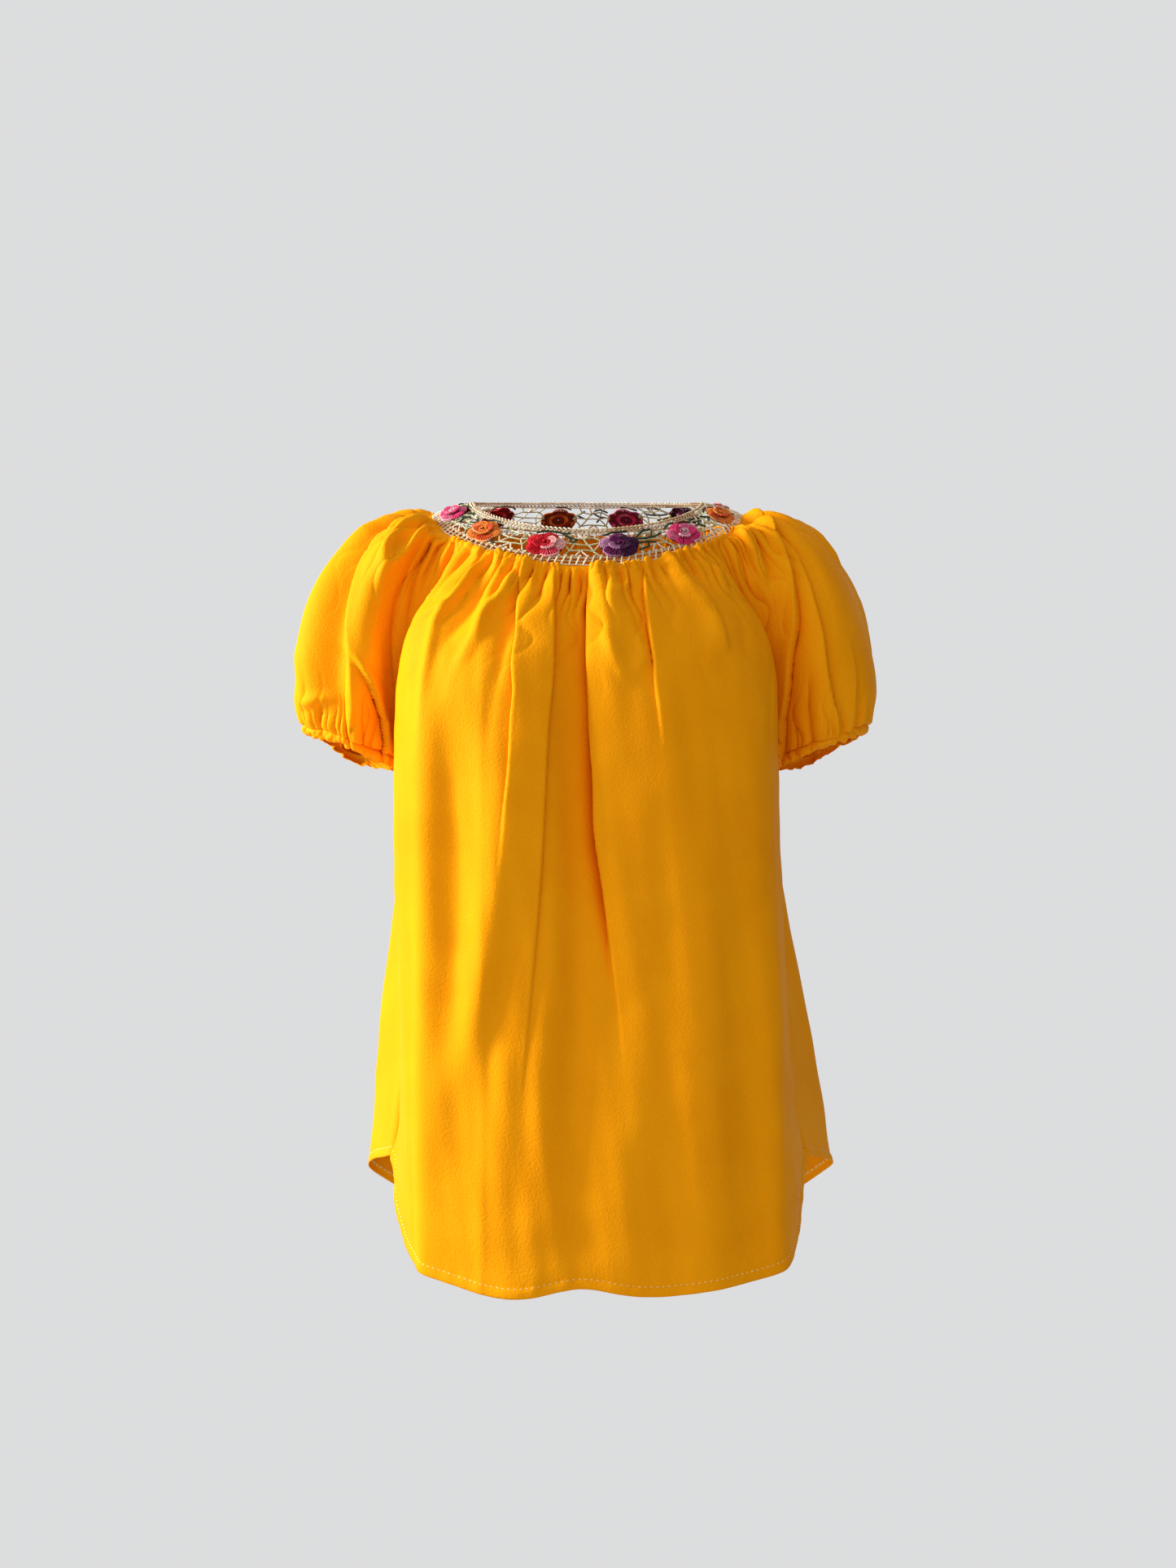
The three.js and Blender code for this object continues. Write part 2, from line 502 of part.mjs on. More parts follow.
// The seam direction at either end of a body row
function bodyEnds(seam) {
  return (end, share) => {
    const t = share / UNDERARM_SHARE;
    const direction = t <= 1 ? seamDirection(seam, t) : sideDirection(share);
    return end === 1 ? direction : mirrored(direction);
  };
}

function bodyWall(panel, seam, gathers, columns) {
  const ends = bodyEnds(seam);
  const shares = [...RAGLAN_ROWS.map((t) => t * UNDERARM_SHARE), ...SKIRT_ROWS];
  const rows = shares.map((share, i) => {
    const n = i < GATHERED_ROWS ? gathers.count * POINTS_PER_GATHER : columns;
    return wallRow(panel, share, n, ends);
  });
  lowerTopEdge(rows[0], rows[1]);
  return wallFromRows(rows);
}

// The gap between a panel's gathered top edge and the yoke
function lowerTopEdge(top, next) {
  for (const side of ["outer", "inner"]) {
    top[side].forEach((p, i) => {
      const toNext = next[side][i].clone().sub(p).normalize();
      p.addScaledVector(toNext, SEAM_GAP / 2);
    });
  }
}

function sleeveEnds(end, share) {
  const t = share / SLEEVE_UNDERARM_SHARE;
  if (t <= 1) return seamDirection(end === 0 ? "frontRaglan" : "backRaglan", t);
  return leftSleeve.normal(NEAR_SEAM, share).add(leftSleeve.normal(1 - NEAR_SEAM, share)).normalize();
}

function sleeveWall(panel, side) {
  const shares = [...RAGLAN_ROWS.map((t) => t * SLEEVE_UNDERARM_SHARE), ...CUFF_ROWS];
  const rows = shares.map((share, i) => {
    let n = SLEEVE_COLUMNS;
    if (i < GATHERED_ROWS) n = SLEEVE_GATHERS.count * POINTS_PER_GATHER;
    if (share >= CUFF_ROWS[0]) n = CUFF_GATHERS.count * POINTS_PER_CUFF_GATHER;
    return wallRow(panel, share, n, sleeveEnds);
  });
  lowerTopEdge(rows[0], rows[1]);
  if (side < 0) {
    for (const row of rows) {
      row.outer = row.outer.map(mirrored);
      row.inner = row.inner.map(mirrored);
    }
  }
  return wallFromRows(rows);
}

const MM_PER_DEG = YOKE_MID_RADIUS * radians(1);

// A polygon drawn in by a bar's half width
function insetPolygon(points, inset) {
  const n = points.length;
  return points.map((p, i) => {
    const before = points[(i + n - 1) % n];
    const after = points[(i + 1) % n];
    const a = p.clone().sub(before).normalize();
    const b = after.clone().sub(p).normalize();
    const inA = new THREE.Vector2(-a.y, a.x);
    const inB = new THREE.Vector2(-b.y, b.x);
    const both = inA.clone().add(inB).normalize();
    return p.clone().addScaledVector(both, inset / Math.max(0.4, both.dot(inA)));
  });
}

// The cells of one half of the yoke: the knots round each, and the half width of its bars
function yokeCells() {
  const cells = [];
  for (let column = 0; column < REPEATS_PER_HALF * COLUMNS_PER_REPEAT; column++) {
    const inRepeat = column % COLUMNS_PER_REPEAT;
    for (let row = 0; row + 1 < KNOT_ROWS.length; row++) {
      const pair = OPEN_PAIRS.find((p) => p.row === row);
      if (pair && inRepeat === pair.column + 1) continue;
      const width = pair && inRepeat === pair.column ? 2 : 1;
      const knots = [];
      for (let c = 0; c <= width; c++) knots.push([row, column + c]);
      for (let c = width; c >= 0; c--) knots.push([row + 1, column + c]);
      const seat = inRepeat >= SEAT.firstColumn && inRepeat <= SEAT.lastColumn
        && row >= SEAT.firstRow && row <= SEAT.lastRow;
      const braid = row + 2 === KNOT_ROWS.length;
      const barHalf = row === 0 ? LADDER_BAR_HALF : NET_BAR_HALF;
      cells.push({ knots, barHalf: seat || braid ? 0 : barHalf });
    }
  }
  return cells;
}

// A knot's place on the flat yoke: the net wanders a little, its outer and inner edges don't
function knotPlace(startDeg, row, column) {
  const columns = REPEATS_PER_HALF * COLUMNS_PER_REPEAT;
  const pitch = (REPEAT_DEG * MM_PER_DEG) / COLUMNS_PER_REPEAT;
  let x = startDeg * MM_PER_DEG + column * pitch;
  if (column === 0) x += YOKE_SEAM_GAP / 2;
  if (column === columns) x -= YOKE_SEAM_GAP / 2;
  if (row === 0) return new THREE.Vector2(x, SEAM_GAP / 2);
  if (row === KNOT_ROWS.length - 1) return new THREE.Vector2(x, KNOT_ROWS[row]);
  const turn = row * 2.1 + (column % COLUMNS_PER_REPEAT) * 2.7;
  const free = column === 0 || column === columns ? 0 : 1;
  return new THREE.Vector2(
    x + free * KNOT_WANDER.x * Math.sin(turn),
    KNOT_ROWS[row] + (row === 1 ? 0 : KNOT_WANDER.y * Math.cos(turn * 1.7)),
  );
}

// One half of the crochet yoke: a plate of cells, open where the thread leaves a gap
function yokeHalf(startDeg) {
  const points = [];
  const faces = [];
  const addPair = (place) => {
    const angle = radians(place.x / MM_PER_DEG);
    points.push(yokePoint(angle, place.y, 0), yokePoint(angle, place.y, -LACE_WALL));
    return points.length - 2;
  };
  const quad = (a, b, c, d) => faces.push(a, b, c, a, c, d);
  const plate = (a, b, c, d) => {
    quad(a, b, c, d);
    quad(d + 1, c + 1, b + 1, a + 1);
  };
  const wall = (a, b) => quad(a + 1, b + 1, b, a);
  const knotIds = new Map();
  const knotId = ([row, column]) => {
    const key = `${row} ${column}`;
    if (!knotIds.has(key)) knotIds.set(key, addPair(knotPlace(startDeg, row, column)));
    return knotIds.get(key);
  };
  const borders = new Map();
  for (const { knots, barHalf } of yokeCells()) {
    const ids = knots.map(knotId);
    const next = (i) => (i + 1) % knots.length;
    ids.forEach((id, i) => {
      const back = `${ids[next(i)]} ${id}`;
      if (borders.has(back)) borders.delete(back);
      else borders.set(`${id} ${ids[next(i)]}`, [id, ids[next(i)]]);
    });
    if (barHalf === 0) {
      plate(...ids);
      continue;
    }
    const places = knots.map(([row, column]) => knotPlace(startDeg, row, column));
    const gap = insetPolygon(places, barHalf).map(addPair);
    ids.forEach((id, i) => {
      plate(id, ids[next(i)], gap[next(i)], gap[i]);
      wall(gap[next(i)], gap[i]);
    });
  }
  for (const [a, b] of borders.values()) wall(a, b);
  return solidGeometry(points, faces);
}

// A crochet flower that follows the yoke's surface
function flowerGeometry(centreDeg) {
  const n = FLOWER.petals * FLOWER.pointsPerPetal;
  const place = (x, y, height) => {
    const angle = radians(centreDeg + x / MM_PER_DEG);
    return yokePoint(angle, NET_CENTRE + y, LACE_LIFT + height);
  };
  const points = [];
  const faces = [];
  for (const ring of FLOWER_RINGS) {
    for (let i = 0; i < n; i++) {
      const angle = (i / n) * 2 * Math.PI;
      const petal = i % FLOWER.pointsPerPetal === 0 ? 1 : FLOWER.notch;
      const x = FLOWER.halfWidth * ring.reach * petal * Math.cos(angle);
      const y = FLOWER.halfDepth * ring.reach * petal * Math.sin(angle);
      points.push(place(x, y, ring.height));
    }
  }
  const bottom = points.push(place(0, 0, 0)) - 1;
  const top = points.push(place(0, 0, FLOWER_TOP)) - 1;
  const lastRing = (FLOWER_RINGS.length - 1) * n;
  for (let i = 0; i < n; i++) {
    const j = (i + 1) % n;
    faces.push(bottom, j, i, top, lastRing + i, lastRing + j);
    for (let ring = 0; ring < lastRing; ring += n) {
      faces.push(ring + i, ring + j, ring + n + i, ring + j, ring + n + j, ring + n + i);
    }
  }
  return solidGeometry(points, faces);
}

function clothMaterial() {
  return new THREE.MeshStandardMaterial({ color: COLOURS.cloth, roughness: 0.72, metalness: 0 });
}

function threadMaterial(colour) {
  return new THREE.MeshStandardMaterial({ color: COLOURS[colour], roughness: 0.8, metalness: 0 });
}

function addPiece(group, name, geometry, material) {
  const mesh = new THREE.Mesh(geometry, material);
  mesh.name = name;
  group.add(mesh);
}

const blouse = new THREE.Group();
addPiece(blouse, "front", bodyWall(front, "frontRaglan", FRONT_GATHERS, FRONT_COLUMNS), clothMaterial());
addPiece(blouse, "back", bodyWall(back, "backRaglan", BACK_GATHERS, BACK_COLUMNS), clothMaterial());
addPiece(blouse, "sleeve_left", sleeveWall(leftSleeve, 1), clothMaterial());
addPiece(blouse, "sleeve_right", sleeveWall(rightSleeve, -1), clothMaterial());

const FRONT_YOKE_START = FIRST_FLOWER_DEG - REPEAT_DEG / 2;
const HALF_TURN_DEG = REPEATS_PER_HALF * REPEAT_DEG;
addPiece(blouse, "yoke_front", yokeHalf(FRONT_YOKE_START), threadMaterial("lace"));
addPiece(blouse, "yoke_back", yokeHalf(FRONT_YOKE_START + HALF_TURN_DEG), threadMaterial("lace"));

for (let i = 0; i < 2 * REPEATS_PER_HALF; i++) {
  const colour = FLOWER_COLOURS[i % FLOWER_COLOURS.length];
  const geometry = flowerGeometry(FIRST_FLOWER_DEG + i * REPEAT_DEG);
  addPiece(blouse, `flower_${i + 1}_${colour}`, geometry, threadMaterial(colour));
}

export default blouse;
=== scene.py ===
"""A peasant blouse as it is worn: crepe cloth, a crochet yoke with roses, gathered cuffs and a stitched hem.

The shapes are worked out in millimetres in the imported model's frame and made in metres:
+X is the wearer's left, +Y the wearer's back, +Z up, and the origin is the middle of the neck.
"""
import collections
import math
import random

import bpy
import numpy as np
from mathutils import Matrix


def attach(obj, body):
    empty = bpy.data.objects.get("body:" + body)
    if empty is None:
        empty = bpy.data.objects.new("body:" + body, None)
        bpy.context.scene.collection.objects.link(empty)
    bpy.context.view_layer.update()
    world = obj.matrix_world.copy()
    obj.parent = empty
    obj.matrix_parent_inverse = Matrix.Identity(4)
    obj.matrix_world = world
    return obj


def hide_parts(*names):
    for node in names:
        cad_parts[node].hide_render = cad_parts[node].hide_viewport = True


MM = 0.001
SEED = 7

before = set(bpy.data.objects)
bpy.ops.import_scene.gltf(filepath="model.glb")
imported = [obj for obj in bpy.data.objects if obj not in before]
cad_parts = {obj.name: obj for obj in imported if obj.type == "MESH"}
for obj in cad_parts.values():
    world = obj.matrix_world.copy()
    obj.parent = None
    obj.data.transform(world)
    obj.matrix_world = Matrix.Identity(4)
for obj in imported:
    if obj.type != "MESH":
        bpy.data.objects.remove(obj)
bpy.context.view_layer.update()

# Driving dimensions, in mm
CLOTH_THICK = 0.7
YOKE_OUTER = dict(half_width=132, front=115, back=112, side_z=4, front_z=-48, back_z=-6)
YOKE_INNER = dict(half_width=95, front=86, back=78, side_z=15, front_z=-15, back_z=24)
RING_POWER = 1.2
FRONT_RAGLAN_DEG = 54
BACK_RAGLAN_DEG = 128
UNDERARM_SHARE = 0.253
SLEEVE_UNDERARM_SHARE = 0.84
SEAM_BEND = 0.55
RIDGE_BEND = 0.71
TOP_BLEND = 0.37
SEAM_GAP = 0.5
YOKE_WIDTH = 42
YOKE_MID_RADIUS = 113
YOKE_CROWN = 2
MM_PER_DEG = YOKE_MID_RADIUS * math.pi / 180
REPEAT_DEG = 30
FIRST_FLOWER_DEG = -77
FLOWER_COUNT = 12
NET_CENTRE = 18.6
ROSE_HALF_WIDTH = 16.5
ROSE_HALF_DEPTH = 12.8
HEM_DEPTH = 8
CASING_DEPTH = 9
BAND_DEPTH = 2.5
OVERLAP = 1.5
OVERLAP_ROWS = 3
OVERLAP_LIFT = 1.1
PUFF_REACH = 7
EDGE_SOFTNESS = 0.5
HEM_DIPS = [(-72, 5.5, 38), (-8, -6.5, 30), (62, 1.5, 30)]
HEM_DIP_REACH = 90
HEM_PROUD = 0.9
HEM_WAVE = 1.4
HEM_WAVE_LENGTH = 62
PUCKER_LENGTH = 13
GROOVE_WIDTH = 1.1
GATHER_HEIGHTS = (0.45, 1.25)
GATHER_REACHES = [0.5, 0.7, 0.9, 1.2, 1.7]
TUCK_WIDTH = 5.5
TUCK_HEIGHT = 3.4
TUCK_LIMITS = (0.35, 1.65)
SEAM_CALM = 8
CRINKLE_HEIGHT = 0.4
CRINKLE_REACH = 22
CURVE_STEPS = 24
RIPPLE_WAVES = 7
THREAD_STEP = 0.9
STEPS_A_KNOB = 3
STITCH_SIDES = 6
STITCH_STEPS = 6

# How far the hanging cloth has swung sideways at each height
LEAN_Z = [-640, -560, -380, -200, -60, 40]
LEAN_X = [8, 7, 0, -5, -4, -3]

BODY_COLUMNS = (
    "share", "centre_y", "centre_z", "third_x", "third_y",
    "corner_x", "corner_y", "corner_z", "turn_x", "turn_y", "turn_z",
)
FRONT_SECTIONS = [
    (0.044, -126, -72, 54, -121, 98, -100, -60, 115, -84, -55),
    (0.1, -136, -104, 57, -135, 118, -110, -96, 142, -80, -90),
    (0.16, -142, -138, 60, -146, 129, -117, -132, 153, -78, -127),
    (0.253, -146, -192, 61, -150, 134, -119, -187, 157, -72, -182),
    (0.437, -143, -300, 62, -146, 137, -114, -298, 158, -68, -294),
    (0.693, -141, -450, 64, -143, 140, -110, -444, 160, -64, -432),
    (1, -140, -630, 66, -142, 143, -108, -616, 163, -62, -596),
]
BACK_SECTIONS = [
    (0.05, 125, -38, 50, 121, 93, 106, -38, 111, 93, -37),
    (0.11, 133, -76, 54, 132, 110, 116, -76, 133, 98, -76),
    (0.17, 138, -118, 57, 138, 119, 121, -118, 147, 88, -118),
    (0.253, 140, -182, 60, 140, 128, 119, -180, 154, 74, -179),
    (0.437, 141, -300, 63, 142, 134, 121, -298, 160, 76, -294),
    (0.693, 143, -450, 67, 146, 146, 126, -441, 180, 82, -420),
    (1, 146, -626, 72, 150, 154, 131, -600, 200, 86, -558),
]
FRONT_RING_DEG = (24, 42, 49)
BACK_RING_DEG = (-23, -40, -47)
SLEEVE_COLUMNS = ("share", "ridge_x", "ridge_z", "mid_x", "mid_z", "front_y", "back_y", "back_drop")
SLEEVE_SECTIONS = [
    (0.07, 149, 9, 133, -12, -58, 64, -4),
    (0.15, 171, 4, 150, -24, -57, 66, -4),
    (0.31, 203, -24, 172, -54, -62, 72, -4),
    (0.5, 227, -64, 188, -90, -68, 77, -4),
    (0.68, 240, -107, 195, -124, -69, 77, -6),
    (0.84, 246, -145, 199, -158, -62, 70, -8),
    (0.93, 243, -166, 199, -180, -52, 60, -10),
    (1, 236, -181, 195, -194, -41, 51, -12),
]
UNDERARM = (142, 8, -178)
FRONT_RAGLAN = [(117, -63, -52), (129, -52, -86), (137, -36, -122), (141, -15, -155), UNDERARM]
BACK_RAGLAN = [(117, 74, -36), (130, 72, -76), (138, 57, -118), (142, 34, -154), UNDERARM]
SIDE_SEAM = [UNDERARM, (141, 8, -250), (144, 9, -340), (155, 10, -430), (174, 14, -540)]
UNDERARM_SEAM = [UNDERARM, (147, 7, -197), (152, 6, -214)]

Fold = collections.namedtuple("Fold", "kind sides size pull path")
# A fold's kind is a round ridge or trough, a cusped valley, or an overlap where the cloth on its low or
# high side lies over the other. Sides are its reach in mm toward lower and higher shares of the way across.
# Its size is its height in mm, or an overlap's rise and drop. Pull shifts its crest toward higher shares.
# The front's paths are places (x, z) as seen from the front, with the fold's strength there.
FRONT_FOLDS = [
    # Beside the wearer's right armhole
    Fold("high_over", (5, 8), (1.8, 2), -0.6, [(-111, -40, 0.6), (-125, -61, 1), (-136, -78, 1),
         (-147, -99, 0.8), (-157, -124, 0.5), (-160, -139, 0)]),
    Fold("round", (6, 4), 3.4, 1, [(-93, -42, 0.4), (-101, -61, 1), (-115, -76, 1), (-125, -92, 1),
         (-130, -114, 1), (-134, -135, 0.8), (-136, -170, 0.4), (-137, -210, 0)]),
    Fold("round", (4, 4), 1.8, 0, [(-116, -76, 0), (-121, -79, 1), (-128, -83, 1), (-135, -87, 0)]),
    Fold("round", (10, 9), -4.5, 0, [(-84, -50, 0.4), (-93, -70, 1), (-108, -98, 1), (-118, -125, 0.6),
         (-124, -160, 0)]),
    Fold("round", (6, 6), 3.4, 0, [(-76, -47, 0.5), (-75, -56, 1), (-83, -68, 1), (-86, -81, 1),
         (-90, -97, 1), (-97, -111, 0.6), (-104, -128, 0)]),
    Fold("round", (6, 7), 2.2, 0, [(-102, -90, 0), (-109, -104, 1), (-116, -118, 0.8), (-122, -150, 0)]),
    Fold("round", (6, 4), 3, 0.8, [(-56, -46, 0.6), (-61, -56, 1), (-69, -71, 1), (-79, -79, 0.9),
         (-88, -90, 0.2)]),
    Fold("round", (7, 5), -3, 0, [(-57, -54, 0.3), (-62, -80, 0.9), (-70, -112, 0.8), (-78, -150, 0.5),
         (-84, -200, 0)]),
    # The right edge of the centre's two flat folds, the folds themselves and the box pleat
    Fold("high_over", (8, 11), (2.6, 3), -1.6, [(-52, -44, 0.4), (-56, -60, 0.9), (-58, -82, 1),
         (-59, -105, 1), (-62, -125, 1), (-61, -149, 1), (-63, -169, 0.9), (-65, -207, 0.7),
         (-69, -248, 0.4), (-74, -300, 0)]),
    Fold("low_over", (13, 9), (3.4, 4.2), 2.2, [(-32, -52, 0.2), (-32, -60, 0.4), (-31, -83, 0.8),
         (-32, -115, 1), (-33, -146, 1), (-36, -178, 1), (-39, -240, 0.9), (-42, -305, 0.6),
         (-50, -407, 0.2), (-57, -480, 0)]),
    Fold("round", (13, 12), -3, 0, [(-36, -240, 0), (-40, -320, 0.8), (-50, -420, 1), (-57, -520, 0.6),
         (-63, -600, 0.2)]),
    Fold("round", (17, 16), -12, 0, [(-14, -60, 0.1), (-14, -110, 0.45), (-14, -170, 0.8), (-12, -250, 1),
         (-10, -350, 0.9), (-14, -450, 0.45), (-18, -540, 0.15), (-20, -620, 0.05)]),
    Fold("high_over", (8, 15), (5.5, 8), -5, [(-2, -51, 0.1), (-1, -59, 0.3), (0, -81, 0.7), (1, -127, 1),
         (2, -181, 1), (5, -222, 1), (6, -261, 1), (12, -311, 0.75), (16, -357, 0.35), (22, -410, 0.1),
         (26, -450, 0)]),
    Fold("round", (16, 12), -3.4, 0, [(6, -270, 0), (12, -340, 0.9), (20, -410, 1), (28, -500, 0.4),
         (32, -570, 0)]),
    Fold("cusp", (5.5, 2), 14, 0, [(-4, -52, 0.6), (-3, -60, 0.8), (-2, -90, 0.6), (-1, -150, 0.8),
         (1, -215, 1.3), (3, -270, 1.4), (8, -311, 1.1), (12, -350, 0.4), (15, -390, 0)]),
    Fold("round", (10, 10), 2.6, 0, [(10, -56, 0.5), (12, -80, 1), (14, -120, 0.7), (18, -170, 0.3),
         (20, -220, 0)]),
    # Short tucks under the yoke
    Fold("cusp", (3, 3), 3.2, 0, [(-42, -50, 0.9), (-42.5, -58, 1), (-44, -68, 0)]),
    Fold("cusp", (3, 3), 3, 0, [(-19, -53, 0.9), (-19, -61, 1), (-18, -72, 0)]),
    Fold("round", (3, 3), 2.4, 0, [(26, -50, 0.6), (29, -58, 1), (27, -64, 1), (21, -71, 0)]),
    Fold("cusp", (3, 3), 3, 0, [(22, -50, 0.9), (21, -58, 0.9), (22, -66, 0)]),
    Fold("cusp", (3, 3), 2.6, 0, [(52, -48, 0.9), (53, -56, 1), (55, -64, 0)]),
    Fold("cusp", (3, 3), 2.6, 0, [(82, -44, 0.9), (84, -52, 1), (87, -60, 0)]),
    # The wearer's left of the centre
    Fold("high_over", (8, 9), (2.4, 3.6), -1, [(43, -47, 0.5), (43, -70, 1), (47, -103, 1), (50, -126, 1),
         (50, -140, 0.8), (53, -165, 0.4), (56, -195, 0)]),
    Fold("round", (9, 12), 2.2, 0, [(52, -110, 0), (57, -160, 1), (64, -240, 0.9), (72, -330, 0.3),
         (76, -380, 0)]),
    Fold("round", (5, 6), 2, 0, [(10, -98, 0), (17, -116, 1), (25, -136, 1), (30, -148, 0)]),
    Fold("round", (5, 5), 2, 0, [(33, -96, 0), (38, -107, 0.9), (42, -120, 1), (38, -130, 0.9),
         (31, -138, 0)]),
    Fold("round", (10, 4), 5, 1.6, [(70, -47, 0.4), (79, -64, 1), (93, -82, 1), (103, -107, 0.9),
         (107, -120, 0)]),
    Fold("round", (4, 4), 2, 0, [(83, -43, 0.5), (98, -49, 1), (113, -58, 1), (126, -72, 0.8),
         (138, -92, 0.5), (145, -115, 0)]),
    Fold("cusp", (3, 3), 1.2, 0, [(147, -115, 0), (145, -140, 1), (143, -181, 1), (143, -240, 0)]),
    # Long soft folds of the hanging cloth
    Fold("round", (13, 13), 5, 0, [(-133, -130, 0), (-134, -190, 0.8), (-134, -330, 1), (-135, -480, 0.9),
         (-134, -620, 0.8)]),
    Fold("round", (16, 16), -6.5, 0, [(-112, -150, 0), (-111, -221, 0.8), (-110, -330, 1),
         (-110, -441, 0.7), (-108, -540, 0.2), (-107, -600, 0)]),
    Fold("round", (17, 17), 6.5, 1, [(-76, -180, 0), (-72, -230, 0.8), (-79, -320, 1), (-96, -408, 1),
         (-118, -476, 0.5), (-126, -540, 0)]),
    Fold("round", (13, 14), -3, 0, [(-60, -270, 0), (-67, -350, 0.8), (-80, -430, 1), (-92, -520, 0.5),
         (-97, -600, 0)]),
    Fold("round", (9, 14), 1.8, 0, [(-47, -400, 0), (-42, -450, 0.9), (-33, -530, 1), (-26, -600, 0.7),
         (-22, -632, 0.5)]),
    Fold("round", (22, 20), 4.6, 0, [(78, -180, 0), (82, -260, 0.7), (88, -360, 1), (92, -470, 0.9),
         (96, -620, 0.7)]),
    Fold("round", (19, 19), -4, 0, [(50, -250, 0), (56, -340, 0.7), (58, -450, 1), (62, -560, 0.8),
         (64, -630, 0.6)]),
    Fold("round", (18, 17), -3.6, 0, [(112, -180, 0), (116, -280, 0.7), (122, -400, 0.9), (127, -520, 1),
         (130, -620, 0.8)]),
    Fold("round", (12, 12), 2.4, 0, [(142, -160, 0), (145, -260, 0.7), (149, -400, 0.9), (152, -560, 1),
         (153, -620, 0.8)]),
    Fold("round", (22, 24), 4.5, 0, [(18, -400, 0), (24, -480, 0.9), (22, -560, 1), (18, -632, 0.8)]),
]

# The other panels' paths are (share of the way across, mm down from the yoke, strength). A sleeve's share
# runs from its front seam over the outer ridge, at a half, to its back seam; the back's from the wearer's
# right.
RIGHT_SLEEVE_FRONT = [
    Fold("low_over", (22, 12), (4.6, 3.6), 2.4, [(0.32, 14, 0.4), (0.29, 52, 0.9), (0.265, 83, 1),
         (0.245, 108, 1), (0.235, 134, 1), (0.23, 152, 1), (0.235, 195, 0.9), (0.235, 226, 0.5)]),
    Fold("round", (22, 20), -8.5, 0, [(0.35, 16, 0.2), (0.325, 50, 0.9), (0.305, 100, 1), (0.29, 150, 1),
         (0.29, 190, 0.9), (0.3, 225, 0.2)]),
    Fold("round", (26, 14), 6.5, 0, [(0.43, 24, 0.1), (0.41, 60, 0.8), (0.4, 120, 1), (0.395, 180, 1),
         (0.39, 220, 0.3)]),
    Fold("round", (19, 17), 6, 0, [(0.24, 24, 0), (0.22, 55, 0.7), (0.2, 90, 1), (0.185, 134, 1),
         (0.18, 165, 0.8), (0.16, 200, 0.4), (0.15, 226, 0)]),
    Fold("round", (5, 7), 3, 0.5, [(0.27, 8, 0.6), (0.24, 30, 1), (0.21, 50, 1), (0.19, 66, 0.8),
         (0.18, 90, 0.4), (0.18, 120, 0)]),
    Fold("round", (5, 5), -1.6, 0, [(0.225, 10, 0.5), (0.2, 30, 1), (0.188, 48, 1), (0.185, 62, 0)]),
    Fold("round", (4, 4), 3, 0, [(0.19, 12, 0.7), (0.165, 31, 1), (0.168, 48, 1), (0.177, 64, 0.7),
         (0.182, 84, 0)]),
    Fold("cusp", (4, 5), 4, 0, [(0.165, 8, 0.7), (0.14, 31, 1), (0.13, 48, 1), (0.12, 70, 1),
         (0.11, 95, 0.8), (0.10, 118, 0.5), (0.09, 150, 0)]),
    Fold("cusp", (3, 4), 4, 0, [(0.135, 7, 0.8), (0.112, 25, 1), (0.105, 40, 1), (0.09, 54, 1),
         (0.075, 66, 0.8), (0.06, 90, 0)]),
    Fold("cusp", (3, 3), 3.4, 0, [(0.09, 5, 0.8), (0.08, 22, 1), (0.075, 39, 0.9), (0.06, 62, 0)]),
    Fold("low_over", (11, 11), (3.2, 5), 1, [(0.225, 148, 0), (0.21, 156, 0.9), (0.185, 166, 1),
         (0.155, 182, 1), (0.13, 202, 1), (0.11, 226, 0.5)]),
    Fold("cusp", (4, 4), 3, 0, [(0.3, 6, 0.9), (0.27, 26, 1), (0.24, 48, 0)]),
    Fold("cusp", (4, 4), 3.2, 0, [(0.37, 10, 0.8), (0.37, 30, 1), (0.38, 52, 0)]),
    Fold("cusp", (4, 4), 2.6, 0, [(0.44, 8, 0.8), (0.45, 24, 1), (0.46, 40, 0)]),
    Fold("cusp", (5, 6), 3.6, 0, [(0.42, 196, 0), (0.425, 208, 0.8), (0.43, 222, 1), (0.43, 234, 1)]),
    Fold("round", (5, 5), 2.4, 0, [(0.29, 196, 0), (0.325, 206, 1), (0.37, 216, 1), (0.4, 226, 0)]),
    Fold("cusp", (4, 4), 3.2, 0, [(0.33, 212, 0), (0.335, 222, 1), (0.345, 234, 1)]),
]
